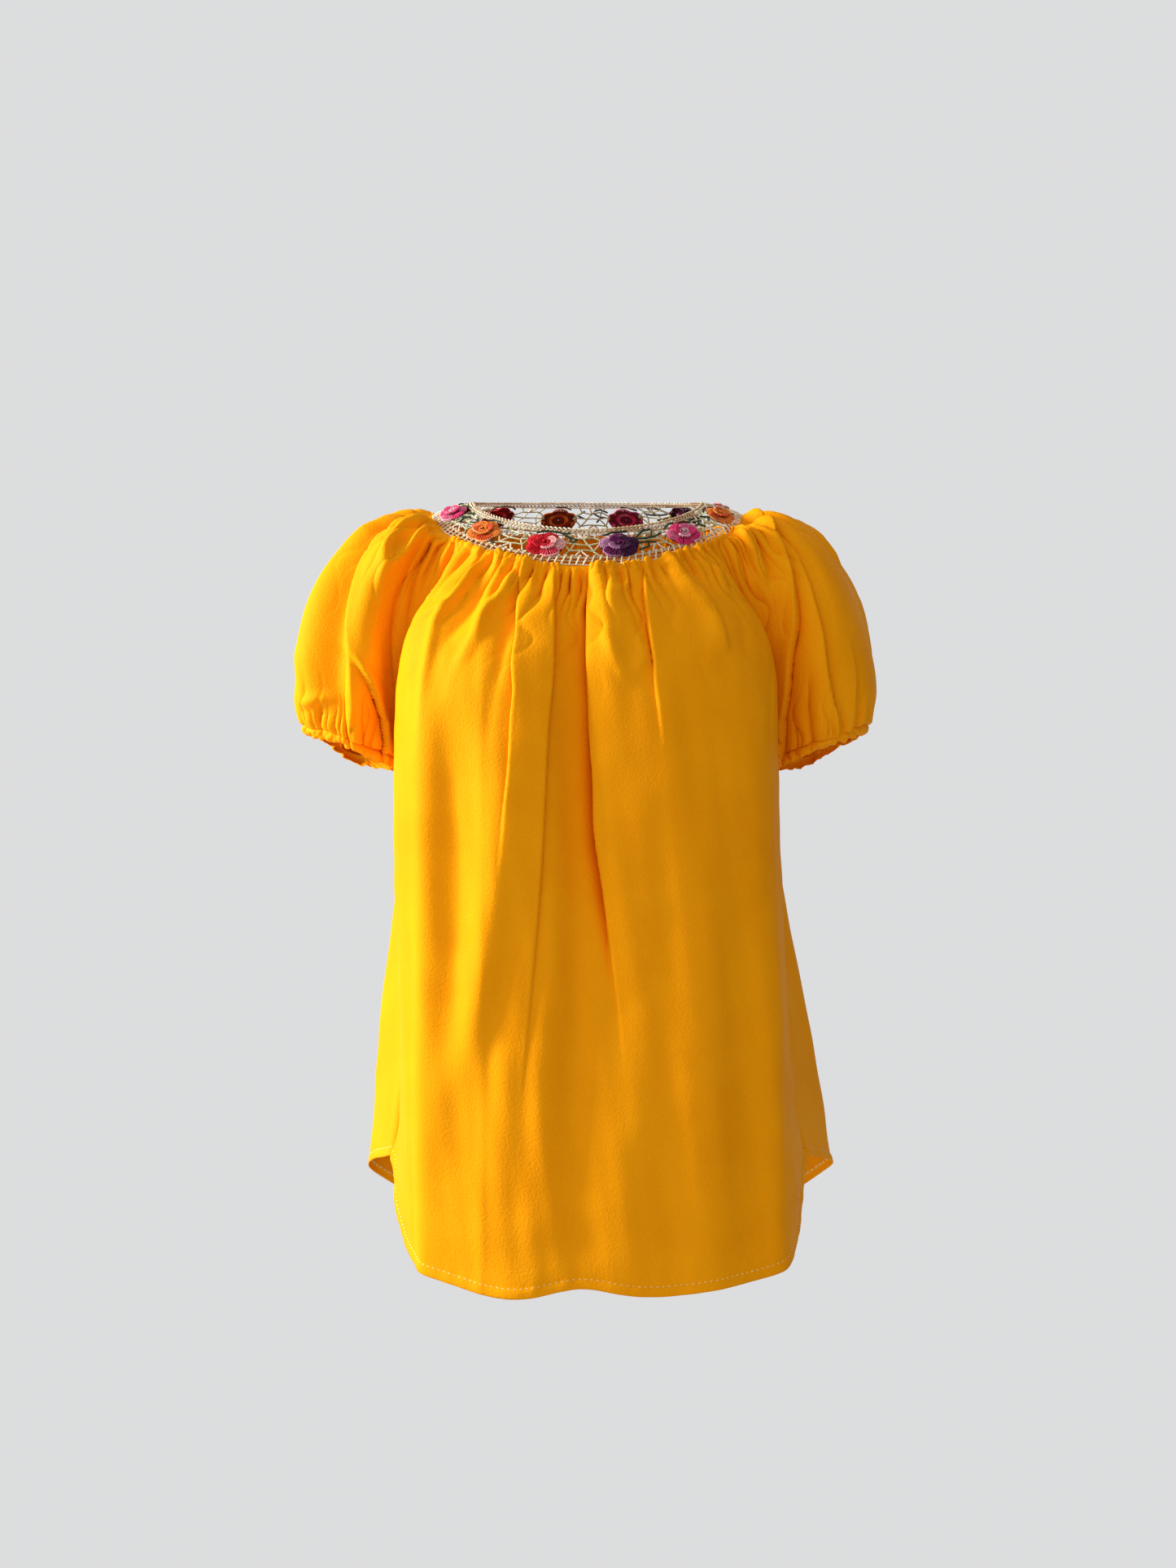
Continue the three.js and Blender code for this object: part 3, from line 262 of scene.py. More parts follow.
LEFT_SLEEVE_FRONT = [
    Fold("low_over", (9, 8), (3, 3.4), 0.8, [(0.34, 8, 0.6), (0.28, 28, 1), (0.23, 42, 1), (0.2, 62, 1),
         (0.17, 84, 0.8), (0.16, 108, 0.4), (0.14, 128, 0)]),
    Fold("low_over", (13, 9), (3, 5), 2, [(0.2, 60, 0), (0.172, 84, 0.7), (0.155, 106, 1), (0.13, 128, 1),
         (0.12, 164, 1), (0.105, 187, 1), (0.075, 212, 0.9)]),
    Fold("low_over", (15, 12), (3, 4.5), 1.2, [(0.26, 58, 0), (0.23, 87, 0.8), (0.222, 109, 1),
         (0.232, 138, 1), (0.25, 173, 1), (0.275, 205, 0.9), (0.285, 224, 0.7)]),
    Fold("low_over", (9, 9), (2.2, 3), 0.8, [(0.325, 155, 0), (0.33, 178, 0.8), (0.332, 198, 1),
         (0.33, 226, 1)]),
    Fold("cusp", (6, 6), 3.6, 0, [(0.2, 156, 0), (0.197, 176, 0.8), (0.2, 195, 1), (0.21, 226, 1)]),
    Fold("round", (6, 5), 3.2, 0, [(0.16, 8, 0.6), (0.13, 28, 1), (0.11, 48, 1), (0.1, 72, 0)]),
    Fold("cusp", (4, 4), 3, 0, [(0.2, 7, 0.8), (0.17, 22, 1), (0.145, 44, 0.8), (0.13, 66, 0)]),
    Fold("cusp", (4, 4), 3, 0, [(0.09, 6, 0.8), (0.085, 24, 1), (0.08, 44, 0)]),
    Fold("round", (6, 6), 3, 0, [(0.45, 40, 0), (0.465, 74, 1), (0.47, 90, 1), (0.47, 112, 0)]),
    Fold("cusp", (4, 4), 3, 0, [(0.41, 7, 0.8), (0.42, 26, 1), (0.44, 48, 0)]),
    Fold("cusp", (4, 4), 3, 0, [(0.27, 7, 0.8), (0.25, 22, 0.9), (0.235, 38, 0)]),
    Fold("cusp", (5, 5), 3, 0, [(0.41, 200, 0), (0.41, 214, 0.9), (0.405, 232, 1)]),
]
BACK_FOLDS = [
    Fold("high_over", (7, 10), (2.2, 2.8), -1, [(0.13, 8, 0.6), (0.14, 40, 1), (0.16, 100, 0.8),
         (0.18, 170, 0.3), (0.19, 220, 0)]),
    Fold("cusp", (5, 5), 3.4, 0, [(0.2, 6, 0.8), (0.2, 30, 1), (0.21, 70, 0.7), (0.22, 120, 0)]),
    Fold("low_over", (9, 8), (2.4, 3), 1.2, [(0.27, 8, 0.6), (0.28, 40, 1), (0.29, 110, 1),
         (0.3, 190, 0.6), (0.3, 300, 0)]),
    Fold("cusp", (5, 6), 3.6, 0, [(0.35, 6, 0.8), (0.345, 30, 1), (0.34, 80, 0.6), (0.34, 130, 0)]),
    Fold("high_over", (8, 10), (2.6, 3.2), -1.4, [(0.42, 8, 0.6), (0.42, 40, 1), (0.41, 120, 1),
         (0.41, 220, 0.6), (0.41, 330, 0)]),
    Fold("cusp", (5, 5), 3.6, 0, [(0.49, 6, 0.8), (0.49, 30, 1), (0.5, 76, 0.6), (0.5, 120, 0)]),
    Fold("low_over", (10, 8), (2.6, 3.2), 1.4, [(0.57, 8, 0.6), (0.57, 40, 1), (0.58, 120, 1),
         (0.59, 200, 0.6), (0.59, 320, 0)]),
    Fold("cusp", (5, 5), 3.4, 0, [(0.64, 6, 0.8), (0.645, 30, 1), (0.65, 90, 0.5), (0.65, 130, 0)]),
    Fold("high_over", (8, 9), (2.2, 3), -1.2, [(0.72, 8, 0.6), (0.72, 40, 1), (0.71, 100, 0.9),
         (0.7, 180, 0.5), (0.7, 280, 0)]),
    Fold("cusp", (5, 5), 3.4, 0, [(0.8, 6, 0.8), (0.79, 30, 1), (0.78, 80, 0.6), (0.78, 130, 0)]),
    Fold("low_over", (9, 7), (2.2, 2.8), 1, [(0.87, 8, 0.6), (0.86, 40, 1), (0.84, 100, 0.8),
         (0.82, 170, 0.3), (0.81, 230, 0)]),
    Fold("round", (20, 20), 8, 0, [(0.15, 120, 0), (0.15, 300, 0.8), (0.16, 600, 1)]),
    Fold("round", (19, 18), -9, 0, [(0.22, 130, 0), (0.23, 320, 0.9), (0.24, 620, 1)]),
    Fold("round", (16, 19), 8, 0, [(0.3, 120, 0), (0.31, 330, 0.9), (0.32, 630, 1)]),
    Fold("round", (17, 17), -8, 0, [(0.38, 140, 0), (0.4, 350, 1), (0.41, 630, 1)]),
    Fold("round", (20, 18), 9, 0, [(0.47, 120, 0), (0.48, 330, 0.9), (0.5, 630, 1)]),
    Fold("round", (17, 19), -8, 0, [(0.56, 130, 0), (0.57, 340, 0.9), (0.6, 630, 1)]),
    Fold("round", (18, 16), 7, 0, [(0.65, 120, 0), (0.67, 330, 1), (0.69, 630, 1)]),
    Fold("round", (17, 17), -8, 0, [(0.75, 130, 0), (0.77, 320, 0.9), (0.78, 620, 1)]),
    Fold("round", (17, 18), 7, 0, [(0.85, 120, 0), (0.86, 300, 0.9), (0.86, 600, 1)]),
]


def smooth(low, high, x):
    t = np.clip((np.asarray(x, float) - low) / (high - low), 0, 1)
    return t * t * (3 - 2 * t)


def curve_through(xs, ys, at):
    """The smooth curve through a table's column ys, whose places are xs, read at each of at."""
    xs, ys, at = (np.asarray(v, float) for v in (xs, ys, at))
    last = len(xs) - 1
    i = np.clip(np.searchsorted(xs, at, side="right") - 1, 0, last - 1)
    before, after = np.maximum(0, i - 1), np.minimum(last, i + 2)
    width = xs[i + 1] - xs[i]
    t = np.clip((at - xs[i]) / width, 0, 1)
    m0 = (ys[i + 1] - ys[before]) / (xs[i + 1] - xs[before]) * width
    m1 = (ys[after] - ys[i]) / (xs[after] - xs[i]) * width
    t2, t3 = t * t, t * t * t
    here, there = 2 * t3 - 3 * t2 + 1, 3 * t2 - 2 * t3
    return here * ys[i] + (t3 - 2 * t2 + t) * m0 + there * ys[i + 1] + (t3 - t2) * m1


def dense_curve(points):
    """Many points of the centripetal curve through a few, as an array."""
    p = [np.asarray(q, float) for q in points]
    p = [2 * p[0] - p[1], *p, 2 * p[-1] - p[-2]]
    out = []
    for a, b, c, d in zip(p, p[1:], p[2:], p[3:]):
        t1 = math.sqrt(max(np.linalg.norm(b - a), 1e-6))
        t2 = t1 + math.sqrt(max(np.linalg.norm(c - b), 1e-6))
        t3 = t2 + math.sqrt(max(np.linalg.norm(d - c), 1e-6))
        t = np.linspace(t1, t2, CURVE_STEPS, endpoint=False)[:, None]
        ab = (t1 - t) / t1 * a + t / t1 * b
        bc = (t2 - t) / (t2 - t1) * b + (t - t1) / (t2 - t1) * c
        cd = (t3 - t) / (t3 - t2) * c + (t - t2) / (t3 - t2) * d
        abc = (t2 - t) / t2 * ab + t / t2 * bc
        bcd = (t3 - t) / (t3 - t1) * bc + (t - t1) / (t3 - t1) * cd
        out.append((t2 - t) / (t2 - t1) * abc + (t - t1) / (t2 - t1) * bcd)
    out.append(p[-2][None])
    return np.concatenate(out)


def lengths_along(line):
    """The length of a line of points up to each of them."""
    return np.concatenate([[0], np.cumsum(np.linalg.norm(np.diff(line, axis=0), axis=1))])


def read_line(line, at, want):
    """The points of a line, which lie at the places at, read at the places wanted."""
    return np.stack([np.interp(want, at, line[:, k]) for k in range(3)], axis=-1)


def along(line, shares):
    """Points at shares of the length of a line."""
    at = lengths_along(line)
    return read_line(line, at, np.asarray(shares, float) * at[-1])


def ring_point(ring, angle):
    angle = np.asarray(angle, float)
    forward = np.cos(angle)
    reach = np.where(forward > 0, ring["front"], ring["back"])
    end_z = np.where(forward > 0, ring["front_z"], ring["back_z"])
    z = ring["side_z"] + (end_z - ring["side_z"]) * np.abs(forward) ** RING_POWER
    return np.stack([ring["half_width"] * np.sin(angle), -reach * forward, z], axis=-1)


def yoke_surface(angle, share):
    share = np.asarray(share, float)
    inward = share[..., None]
    p = ring_point(YOKE_OUTER, angle) * (1 - inward) + ring_point(YOKE_INNER, angle) * inward
    p[..., 2] += YOKE_CROWN * np.sin(np.pi * np.clip(share, 0, 1))
    return p


def unit(v):
    return v / np.maximum(np.linalg.norm(v, axis=-1, keepdims=True), 1e-9)


def yoke_normal(angle, share):
    d = 0.01
    side = yoke_surface(angle + d, share) - yoke_surface(angle - d, share)
    up = yoke_surface(angle, share + d) - yoke_surface(angle, share - d)
    return unit(np.cross(side, up))


def yoke_point(flat):
    """Flat places (x round the neck, y in from the outer edge, height) on the yoke, in mm."""
    flat = np.asarray(flat, float)
    angle = np.radians(flat[..., 0] / MM_PER_DEG)
    share = flat[..., 1] / YOKE_WIDTH
    return lean(yoke_surface(angle, share) + yoke_normal(angle, share) * flat[..., 2:3])


def lean(p):
    p = np.array(p, float)
    p[..., 0] += curve_through(LEAN_Z, LEAN_X, np.clip(p[..., 2], LEAN_Z[0], LEAN_Z[-1]))
    return p


def ripple(x, y, wavelength, seed, stretch=1.0):
    """Soft uneven swell, about -1 to 1, from waves in several directions."""
    rng = random.Random(seed)
    total = np.zeros(np.broadcast(x, y).shape)
    for _ in range(RIPPLE_WAVES):
        turn = rng.uniform(0, 2 * math.pi)
        size = wavelength * rng.uniform(0.7, 1.5)
        phase = rng.uniform(0, 2 * math.pi)
        ahead = x * math.cos(turn) + y / stretch * math.sin(turn)
        total = total + np.sin(2 * math.pi * ahead / size + phase)
    return total / math.sqrt(RIPPLE_WAVES * 2)


def body_section_table(sections, ring_middle_deg, ring_degs):
    """The panel's table of sections, with the one on the yoke's edge put first."""
    centre = ring_point(YOKE_OUTER, math.radians(ring_middle_deg))
    third, corner, turn = (ring_point(YOKE_OUTER, math.radians(ring_middle_deg + d)) for d in ring_degs)
    first = (0, centre[1], centre[2], third[0], third[1], *corner, *turn)
    rows = [first, *sections]
    return {name: [row[i] for row in rows] for i, name in enumerate(BODY_COLUMNS)}


def sleeve_section_table():
    ridge = ring_point(YOKE_OUTER, math.pi / 2)
    front = ring_point(YOKE_OUTER, math.radians(66))
    back = ring_point(YOKE_OUTER, math.radians(116))
    first = (0, ridge[0], ridge[2], front[0], front[2], front[1], back[1], back[2] - front[2])
    rows = [first, *SLEEVE_SECTIONS]
    return {name: [row[i] for row in rows] for i, name in enumerate(SLEEVE_COLUMNS)}


def seam_curve(points, start_deg=None):
    if start_deg is not None:
        points = [ring_point(YOKE_OUTER, math.radians(start_deg)), *points]
    return dense_curve(points)


SEAMS = dict(
    front=seam_curve(FRONT_RAGLAN, FRONT_RAGLAN_DEG),
    back=seam_curve(BACK_RAGLAN, BACK_RAGLAN_DEG),
    side=seam_curve(SIDE_SEAM),
    underarm=seam_curve(UNDERARM_SEAM),
)


def edge_point(raglan, below, underarm_share, share):
    if share <= underarm_share:
        return along(SEAMS[raglan], [share / underarm_share])[0]
    return along(SEAMS[below], [(share - underarm_share) / (1 - underarm_share)])[0]


def body_row(table, raglan, share):
    at = {name: float(curve_through(table["share"], column, share)) for name, column in table.items()}
    edge = edge_point(raglan, "side", UNDERARM_SHARE, share)
    third_z = at["centre_z"] + (at["corner_z"] - at["centre_z"]) * 0.2
    half = [
        edge,
        (at["turn_x"], at["turn_y"], at["turn_z"]),
        (at["corner_x"], at["corner_y"], at["corner_z"]),
        (at["third_x"], at["third_y"], third_z),
    ]
    mirrored = [(-p[0], p[1], p[2]) for p in half]
    return dense_curve([*mirrored, (0, at["centre_y"], at["centre_z"]), *reversed(half)])


def bend_point(side, end, fullness):
    return (
        side[0] + (end[0] - side[0]) * fullness,
        end[1] + (side[1] - end[1]) * fullness,
        side[2] + (end[2] - side[2]) * fullness,
    )


def sleeve_row(table, share):
    at = {name: float(curve_through(table["share"], column, share)) for name, column in table.items()}
    front_edge = edge_point("front", "underarm", SLEEVE_UNDERARM_SHARE, share)
    back_edge = edge_point("back", "underarm", SLEEVE_UNDERARM_SHARE, share)
    ridge = (at["ridge_x"], (front_edge[1] + back_edge[1]) / 2, at["ridge_z"])
    front = (at["mid_x"], at["front_y"], at["mid_z"])
    back = (at["mid_x"], at["back_y"], at["mid_z"] + at["back_drop"])
    return dense_curve([
        front_edge, bend_point(front, front_edge, SEAM_BEND), front, bend_point(front, ridge, RIDGE_BEND),
        ridge,
        bend_point(back, ridge, RIDGE_BEND), back, bend_point(back, back_edge, SEAM_BEND), back_edge,
    ])


class Panel:
    """A panel's smooth base on a grid, with rows down the panel and columns across it, and its folds.

    In mm, s is the way along a row, d the way down from the yoke's edge and to_edge the way to the nearer
    seam. The folds add to height off the surface, to pull across it and to slide down it.
    """

    def __init__(self, row, ring_degs, underarm_share, across, shares, outward, mirror=1):
        self.across = np.asarray(across)
        angles = np.radians(ring_degs[0] + (ring_degs[1] - ring_degs[0]) * self.across)
        top = along(row(0.0), self.across)
        off_ring = ring_point(YOKE_OUTER, angles) - top
        rows = []
        for share in shares:
            fade = 1 - smooth(0, TOP_BLEND * underarm_share, share)
            rows.append(along(row(float(share)), self.across) + off_ring * fade)
        over_yoke = np.linspace(OVERLAP, 0.5, OVERLAP_ROWS) / YOKE_WIDTH
        over = [yoke_surface(angles, np.full(len(angles), share)) for share in over_yoke]
        rows = over + rows
        base = np.array(rows)
        base[..., 0] *= mirror
        self.base = lean(base)
        side = np.gradient(self.base, axis=1)
        down = np.gradient(self.base, axis=0)
        self.side = unit(side)
        self.normal = unit(np.cross(down, side)) * outward * mirror
        step = np.linalg.norm(np.diff(self.base, axis=1), axis=2)
        self.s = np.concatenate([np.zeros((len(rows), 1)), np.cumsum(step, axis=1)], axis=1)
        self.row_length = self.s[:, -1:]
        drop = np.linalg.norm(np.diff(self.base, axis=0), axis=2)
        self.d = np.concatenate([np.zeros((1, len(self.across))), np.cumsum(drop, axis=0)], axis=0) - OVERLAP
        self.to_edge = np.minimum(self.s, self.row_length - self.s)
        self.height = np.zeros(self.base.shape[:2])
        self.pull = np.zeros(self.base.shape[:2])
        self.slide = np.zeros(self.base.shape[:2])

    def from_line(self, path, by_height):
        """How far each place is from a fold's line, square to it, and the fold's strength there."""
        path = np.array(path, float)
        down = self.d
        if by_height:
            path[:, 1] *= -1
            down = -self.base[..., 2]
        near = np.clip(down, path[0, 1], path[-1, 1])
        line = curve_through(path[:, 1], path[:, 0], near)
        step = 2.0
        slope = (curve_through(path[:, 1], path[:, 0], near + step) - line) / step
        strength = np.interp(down, path[:, 1], path[:, 2])
        if by_height:
            offset = (self.base[..., 0] - line) / np.maximum(np.abs(self.side[..., 0]), 0.35)
            strength = strength * smooth(0.1, 0.4, -self.normal[..., 1])
        else:
            offset = (self.across[None, :] - line) * self.row_length
            slope = slope * self.row_length
        return offset / np.sqrt(1 + np.clip(slope, -1.5, 1.5) ** 2), strength

    def add_fold(self, fold, by_height=False, gain=1.0):
        offset, strength = self.from_line(fold.path, by_height)
        strength = strength * gain
        low, high = fold.sides
        width = np.where(offset < 0, low, high)
        if fold.kind == "round":
            bell = np.exp(-((offset / width) ** 2)) * strength
            self.height += fold.size * bell
            self.pull += fold.pull * bell
        elif fold.kind == "cusp":
            self.height -= fold.size * strength * np.exp(-(np.sqrt(offset ** 2 + 0.4) - 0.63) / width)
        else:
            rise, drop = fold.size
            toward_under = offset if fold.kind == "low_over" else -offset
            over = rise * np.exp(-np.maximum(-toward_under, 0) / width)
            under = -drop * np.exp(-np.maximum(toward_under, 0) / width)
            blend = 0.5 + 0.5 * np.tanh(toward_under / EDGE_SOFTNESS)
            self.height += strength * (over * (1 - blend) + under * blend)
            self.pull += strength * fold.pull * np.exp(-(((toward_under + 1) / 3) ** 2))

    def add_gathers(self, distance, gathers, seed):
        """Uneven domes between narrow valleys: highest a little way from their seam, and fading beyond."""
        count, height, peak, reach, spread = gathers
        rng = random.Random(seed)
        sizes = [rng.uniform(1 - spread, 1 + spread) for _ in range(count)]
        bounds = np.concatenate([[0], np.cumsum(sizes)])
        bounds /= bounds[-1]
        heights = np.array([rng.uniform(*GATHER_HEIGHTS) for _ in range(count)])
        reaches = np.array([rng.choice(GATHER_REACHES) for _ in range(count)])
        leans = np.array([rng.uniform(-1, 1) for _ in range(count)])
        wander = 0.3 / count * ripple(distance, self.s * 0.4, 55, seed + 1) * smooth(0, 25, distance)
        ends = smooth(0, 0.05, self.across) * smooth(1, 0.95, self.across)
        j, t = self.place_in(bounds, wander * ends)
        rise = 0.35 + 0.65 * smooth(0, peak, distance)
        past = np.maximum(distance - peak, 0)
        fade = np.exp(-((past / (reach * reaches[j])) ** 1.4))
        even_fade = np.exp(-((past / reach) ** 1.4))
        dome = (4 * t * (1 - t)) ** 0.55
        self.height += height * (heights[j] * rise * fade * dome - 0.6 * rise * even_fade)
        self.pull += 0.5 * height * leans[j] * rise * fade * np.sin(np.pi * t) ** 2
        to_crease = np.minimum(t, 1 - t) * (bounds[j + 1] - bounds[j]) * self.row_length
        self.height -= 0.5 * height * rise * even_fade * np.exp(-to_crease / 1.1)

    def place_in(self, bounds, wander):
        """Which stretch between bounds each place across lies in, and how far through it."""
        across = np.clip(self.across[None, :] + wander, 0, 0.99999)
        j = np.clip(np.searchsorted(bounds, across, side="right") - 1, 0, len(bounds) - 2)
        return j, np.clip((across - bounds[j]) / (bounds[j + 1] - bounds[j]), 0, 1)

    def add_crinkle(self, distance, seed):
        wave = ripple(self.s, self.d * 0.55, 8.5, seed) + 0.6 * ripple(self.s, self.d, 4.2, seed + 1)
        self.height += CRINKLE_HEIGHT * wave * np.exp(-((distance / CRINKLE_REACH) ** 2))

    def add_swell(self, wavelength, height, seed, stretch=2.2):
        self.height += height * ripple(self.s - self.row_length / 2, self.d, wavelength, seed, stretch)

    def add_puff(self, height):
        """Cloth swells beside its seams, so that each seam lies in a groove."""
        x = self.to_edge / PUFF_REACH
        self.height += height * x * np.exp(1 - x) * smooth(0, 25, self.d)

    def add_neck_band(self, seed):
        """The gathered edge rolls over the crochet, crinkled in narrow tucks above a pinched line."""
        rng = random.Random(seed)
        count = int(self.row_length[0, 0] / TUCK_WIDTH)
        bounds = np.concatenate([[0], np.cumsum([rng.uniform(*TUCK_LIMITS) for _ in range(count)])])
        bounds /= bounds[-1]
        t = self.place_in(bounds, 0.3 / count * ripple(self.d, self.s * 0.2, 14, seed + 1))[1]
        dome = (4 * t * (1 - t)) ** 0.5
        band = smooth(BAND_DEPTH + 5, BAND_DEPTH - 2, self.d)
        pinch = 0.6 + 0.4 * ripple(self.s, 0 * self.s, 21, seed + 3)
        self.height += band * (TUCK_HEIGHT * dome - 1.6)
        self.height -= 1.9 * pinch * np.exp(-(((self.d - BAND_DEPTH) / 1.8) ** 2))
        near = smooth(9, 1, self.d)
        self.height = self.height * (1 - near) + np.maximum(self.height, -2.0) * near
        self.height += OVERLAP_LIFT * smooth(8, -1, self.d)
        scallop = 1.4 * (dome - 0.6) + 0.9 * ripple(self.s, 0 * self.s, 17, seed + 2)
        self.slide -= scallop * np.exp(-(((self.d + OVERLAP) / 4) ** 2))

    def calm_edges(self):
        calm = smooth(0, SEAM_CALM, self.to_edge)
        self.height *= calm
        self.pull *= calm

    def add_dips(self, dips):
        """The hem hangs lower or higher at places across: each is (x, mm lower, half width)."""
        to_hem = self.d[-1:] - self.d
        for x, lower, width in dips:
            place = np.exp(-(((self.base[..., 0] - x) / width) ** 2))
            self.slide += lower * place * np.exp(-((to_hem / HEM_DIP_REACH) ** 2))

    def points(self):
        down = unit(np.gradient(self.base, axis=0))
        return (
            self.base
            + self.normal * self.height[..., None]
            + self.side * self.pull[..., None]
            + down * self.slide[..., None]
        )


def mirrored(fold):
    """The same fold seen from the other end of a panel's way across."""
    kind = {"low_over": "high_over", "high_over": "low_over"}.get(fold.kind, fold.kind)
    path = [(1 - across, down, strength) for across, down, strength in fold.path]
    return Fold(kind, fold.sides[::-1], fold.size, -fold.pull, path)


def steps(stretches):
    """Shares from 0 to 1: each stretch is (end, how many steps)."""
    out = [0.0]
    for end, count in stretches:
        out.extend(np.linspace(out[-1], end, count + 1)[1:])
    return np.array(out)


def dense_across(count, places, sharpness, gain):
    """Shares across a panel, closer together beside the named places."""
    fine = np.linspace(0, 1, 2000)
    density = 1 + sum(gain * np.exp(-(((fine - p) / sharpness) ** 2)) for p in places)
    total = np.concatenate([[0], np.cumsum((density[1:] + density[:-1]) / 2)])
    return np.interp(np.linspace(0, 1, count + 1), total / total[-1], fine)


def grid_faces(rows, columns, flip):
    i = np.arange(rows - 1)[:, None] * columns + np.arange(columns - 1)[None, :]
    quads = np.stack([i, i + columns, i + columns + 1, i + 1], axis=-1).reshape(-1, 4)
    return quads[:, ::-1] if flip else quads


def new_object(name, vertices, faces, material):
    points = np.asarray(vertices).reshape(-1, 3) * MM
    mesh = bpy.data.meshes.new(name)
    mesh.from_pydata(points.tolist(), [], [list(map(int, face)) for face in faces])
    mesh.validate()
    mesh.update()
    mesh.polygons.foreach_set("use_smooth", [True] * len(mesh.polygons))
    piece = bpy.data.objects.new(name, mesh)
    bpy.context.scene.collection.objects.link(piece)
    mesh.materials.append(material)
    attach(piece, "root")
    return piece


def tube_points(line, outward, size, sides):
    """A ring of points round each point of a line, of its own size; outward points off the surface."""
    ahead = unit(np.gradient(line, axis=0))
    across = unit(np.cross(ahead, outward))
    up = np.cross(across, ahead)
    turn = np.linspace(0, 2 * math.pi, sides, endpoint=False)
    ring = across[:, None] * np.cos(turn)[None, :, None] + up[:, None] * np.sin(turn)[None, :, None]
    return line[:, None] + ring * size[:, None, None]


def ring_faces(rings, sides, first=0):
    """Faces between each ring of points and the next."""
    faces = []
    for i in range(first, first + (rings - 1) * sides, sides):
        for j in range(sides):
            k = (j + 1) % sides
            faces.append((i + j, i + k, i + sides + k, i + sides + j))
    return faces


def give_thickness(piece, thickness):
    solidify = piece.modifiers.new("thickness", "SOLIDIFY")
    solidify.thickness = thickness * MM
    solidify.offset = -1
    solidify.use_even_offset = False


def finish_hem(panel, seed):
    """A turned hem: a little proud of the cloth above its line of stitches, and softly waved."""
    to_hem = panel.d[-1:] - panel.d
    turned = smooth(HEM_DEPTH + 1.2, HEM_DEPTH - 0.6, to_hem)
    groove = np.exp(-(((to_hem - HEM_DEPTH) / GROOVE_WIDTH) ** 2))
    pucker = ripple(panel.s, to_hem * 0.3, PUCKER_LENGTH, seed)
    near = np.exp(-((to_hem / 22) ** 2))
    panel.height += HEM_PROUD * turned - HEM_PROUD * groove + 0.5 * pucker * near * (0.4 + groove)
    wave = ripple(panel.s, to_hem, HEM_WAVE_LENGTH, seed + 3)
    panel.height += HEM_WAVE * wave * np.exp(-((to_hem / 60) ** 2))


# Gathers at a seam: how many, how high, how far from the seam they peak and fade, and how unlike each
# other's their widths are
Gathers = collections.namedtuple("Gathers", "count height peak reach spread", defaults=[0.5])
FRONT_GATHERS = [Gathers(26, 6.4, 5, 30), Gathers(12, 3.2, 14, 46)]
BACK_GATHERS = [Gathers(28, 6.4, 5, 32), Gathers(12, 3.6, 16, 60)]
SLEEVE_GATHERS = [Gathers(21, 6.4, 6, 38), Gathers(10, 4.0, 18, 60)]
CUFF_GATHERS = [Gathers(23, 4.6, 4, 17, 0.7), Gathers(12, 3.4, 9, 32, 0.7)]
BODY_PUFF = 2.4
SLEEVE_PUFF = 3
FRONT_SWELLS = (1.1, 0.4)
BACK_SWELLS = (1.2, 0.3)
SLEEVE_SWELL = 0.9

# A panel's rows, as (share of the way down, how many rows to there), and how many columns it has
FRONT_ROWS = [(0.04, 20), (0.14, 30), (0.34, 46), (0.96, 66), (1, 12)]
BACK_ROWS = [(0.04, 16), (0.14, 24), (0.34, 34), (0.96, 62), (1, 12)]
SLEEVE_ROWS = [(0.08, 20), (0.3, 32), (0.84, 62), (0.955, 22), (1, 16)]
FRONT_COLUMNS = 262
BACK_COLUMNS = 221
SLEEVE_COLUMN_COUNT = 240
FRONT_DENSE_PLACES = [0.34, 0.4, 0.44, 0.52, 0.63]
SLEEVE_DENSE_PLACES = [0.1, 0.2, 0.3]


def finish_body(panel, gathers, swells, seed):
    """What the front and the back have over their folds, from the yoke to the hem."""
    below = np.maximum(panel.d + 1, 0)
    for i, row in enumerate(gathers):
        panel.add_gathers(below, row, seed + 1 + i)
    panel.add_crinkle(below, seed + 3)
    wide_swell, narrow_swell = swells
    panel.add_swell(85, wide_swell, seed + 4)
    panel.add_swell(28, narrow_swell, seed + 5, stretch=1.6)
    panel.calm_edges()
    panel.add_puff(BODY_PUFF)
    panel.add_neck_band(seed + 7)
    finish_hem(panel, seed + 6)
    return panel


def make_front():
    across = dense_across(FRONT_COLUMNS, FRONT_DENSE_PLACES, sharpness=0.03, gain=1.5)
    table = body_section_table(FRONT_SECTIONS, 0, FRONT_RING_DEG)
    panel = Panel(lambda s: body_row(table, "front", s), (-FRONT_RAGLAN_DEG, FRONT_RAGLAN_DEG),
                  UNDERARM_SHARE, across, steps(FRONT_ROWS), 1)
    top_gain = 1 + 0.35 * smooth(120, 60, panel.d)
    for fold in FRONT_FOLDS:
        panel.add_fold(fold, by_height=True, gain=top_gain)
    finish_body(panel, FRONT_GATHERS, FRONT_SWELLS, 10)
    panel.add_dips(HEM_DIPS)
    return panel


def make_back():
    across = np.linspace(0, 1, BACK_COLUMNS)
    table = body_section_table(BACK_SECTIONS, 180, BACK_RING_DEG)
    panel = Panel(lambda s: body_row(table, "back", s), (360 - BACK_RAGLAN_DEG, BACK_RAGLAN_DEG),
                  UNDERARM_SHARE, across, steps(BACK_ROWS), -1)
    for fold in BACK_FOLDS:
        panel.add_fold(fold)
    return finish_body(panel, BACK_GATHERS, BACK_SWELLS, 20)


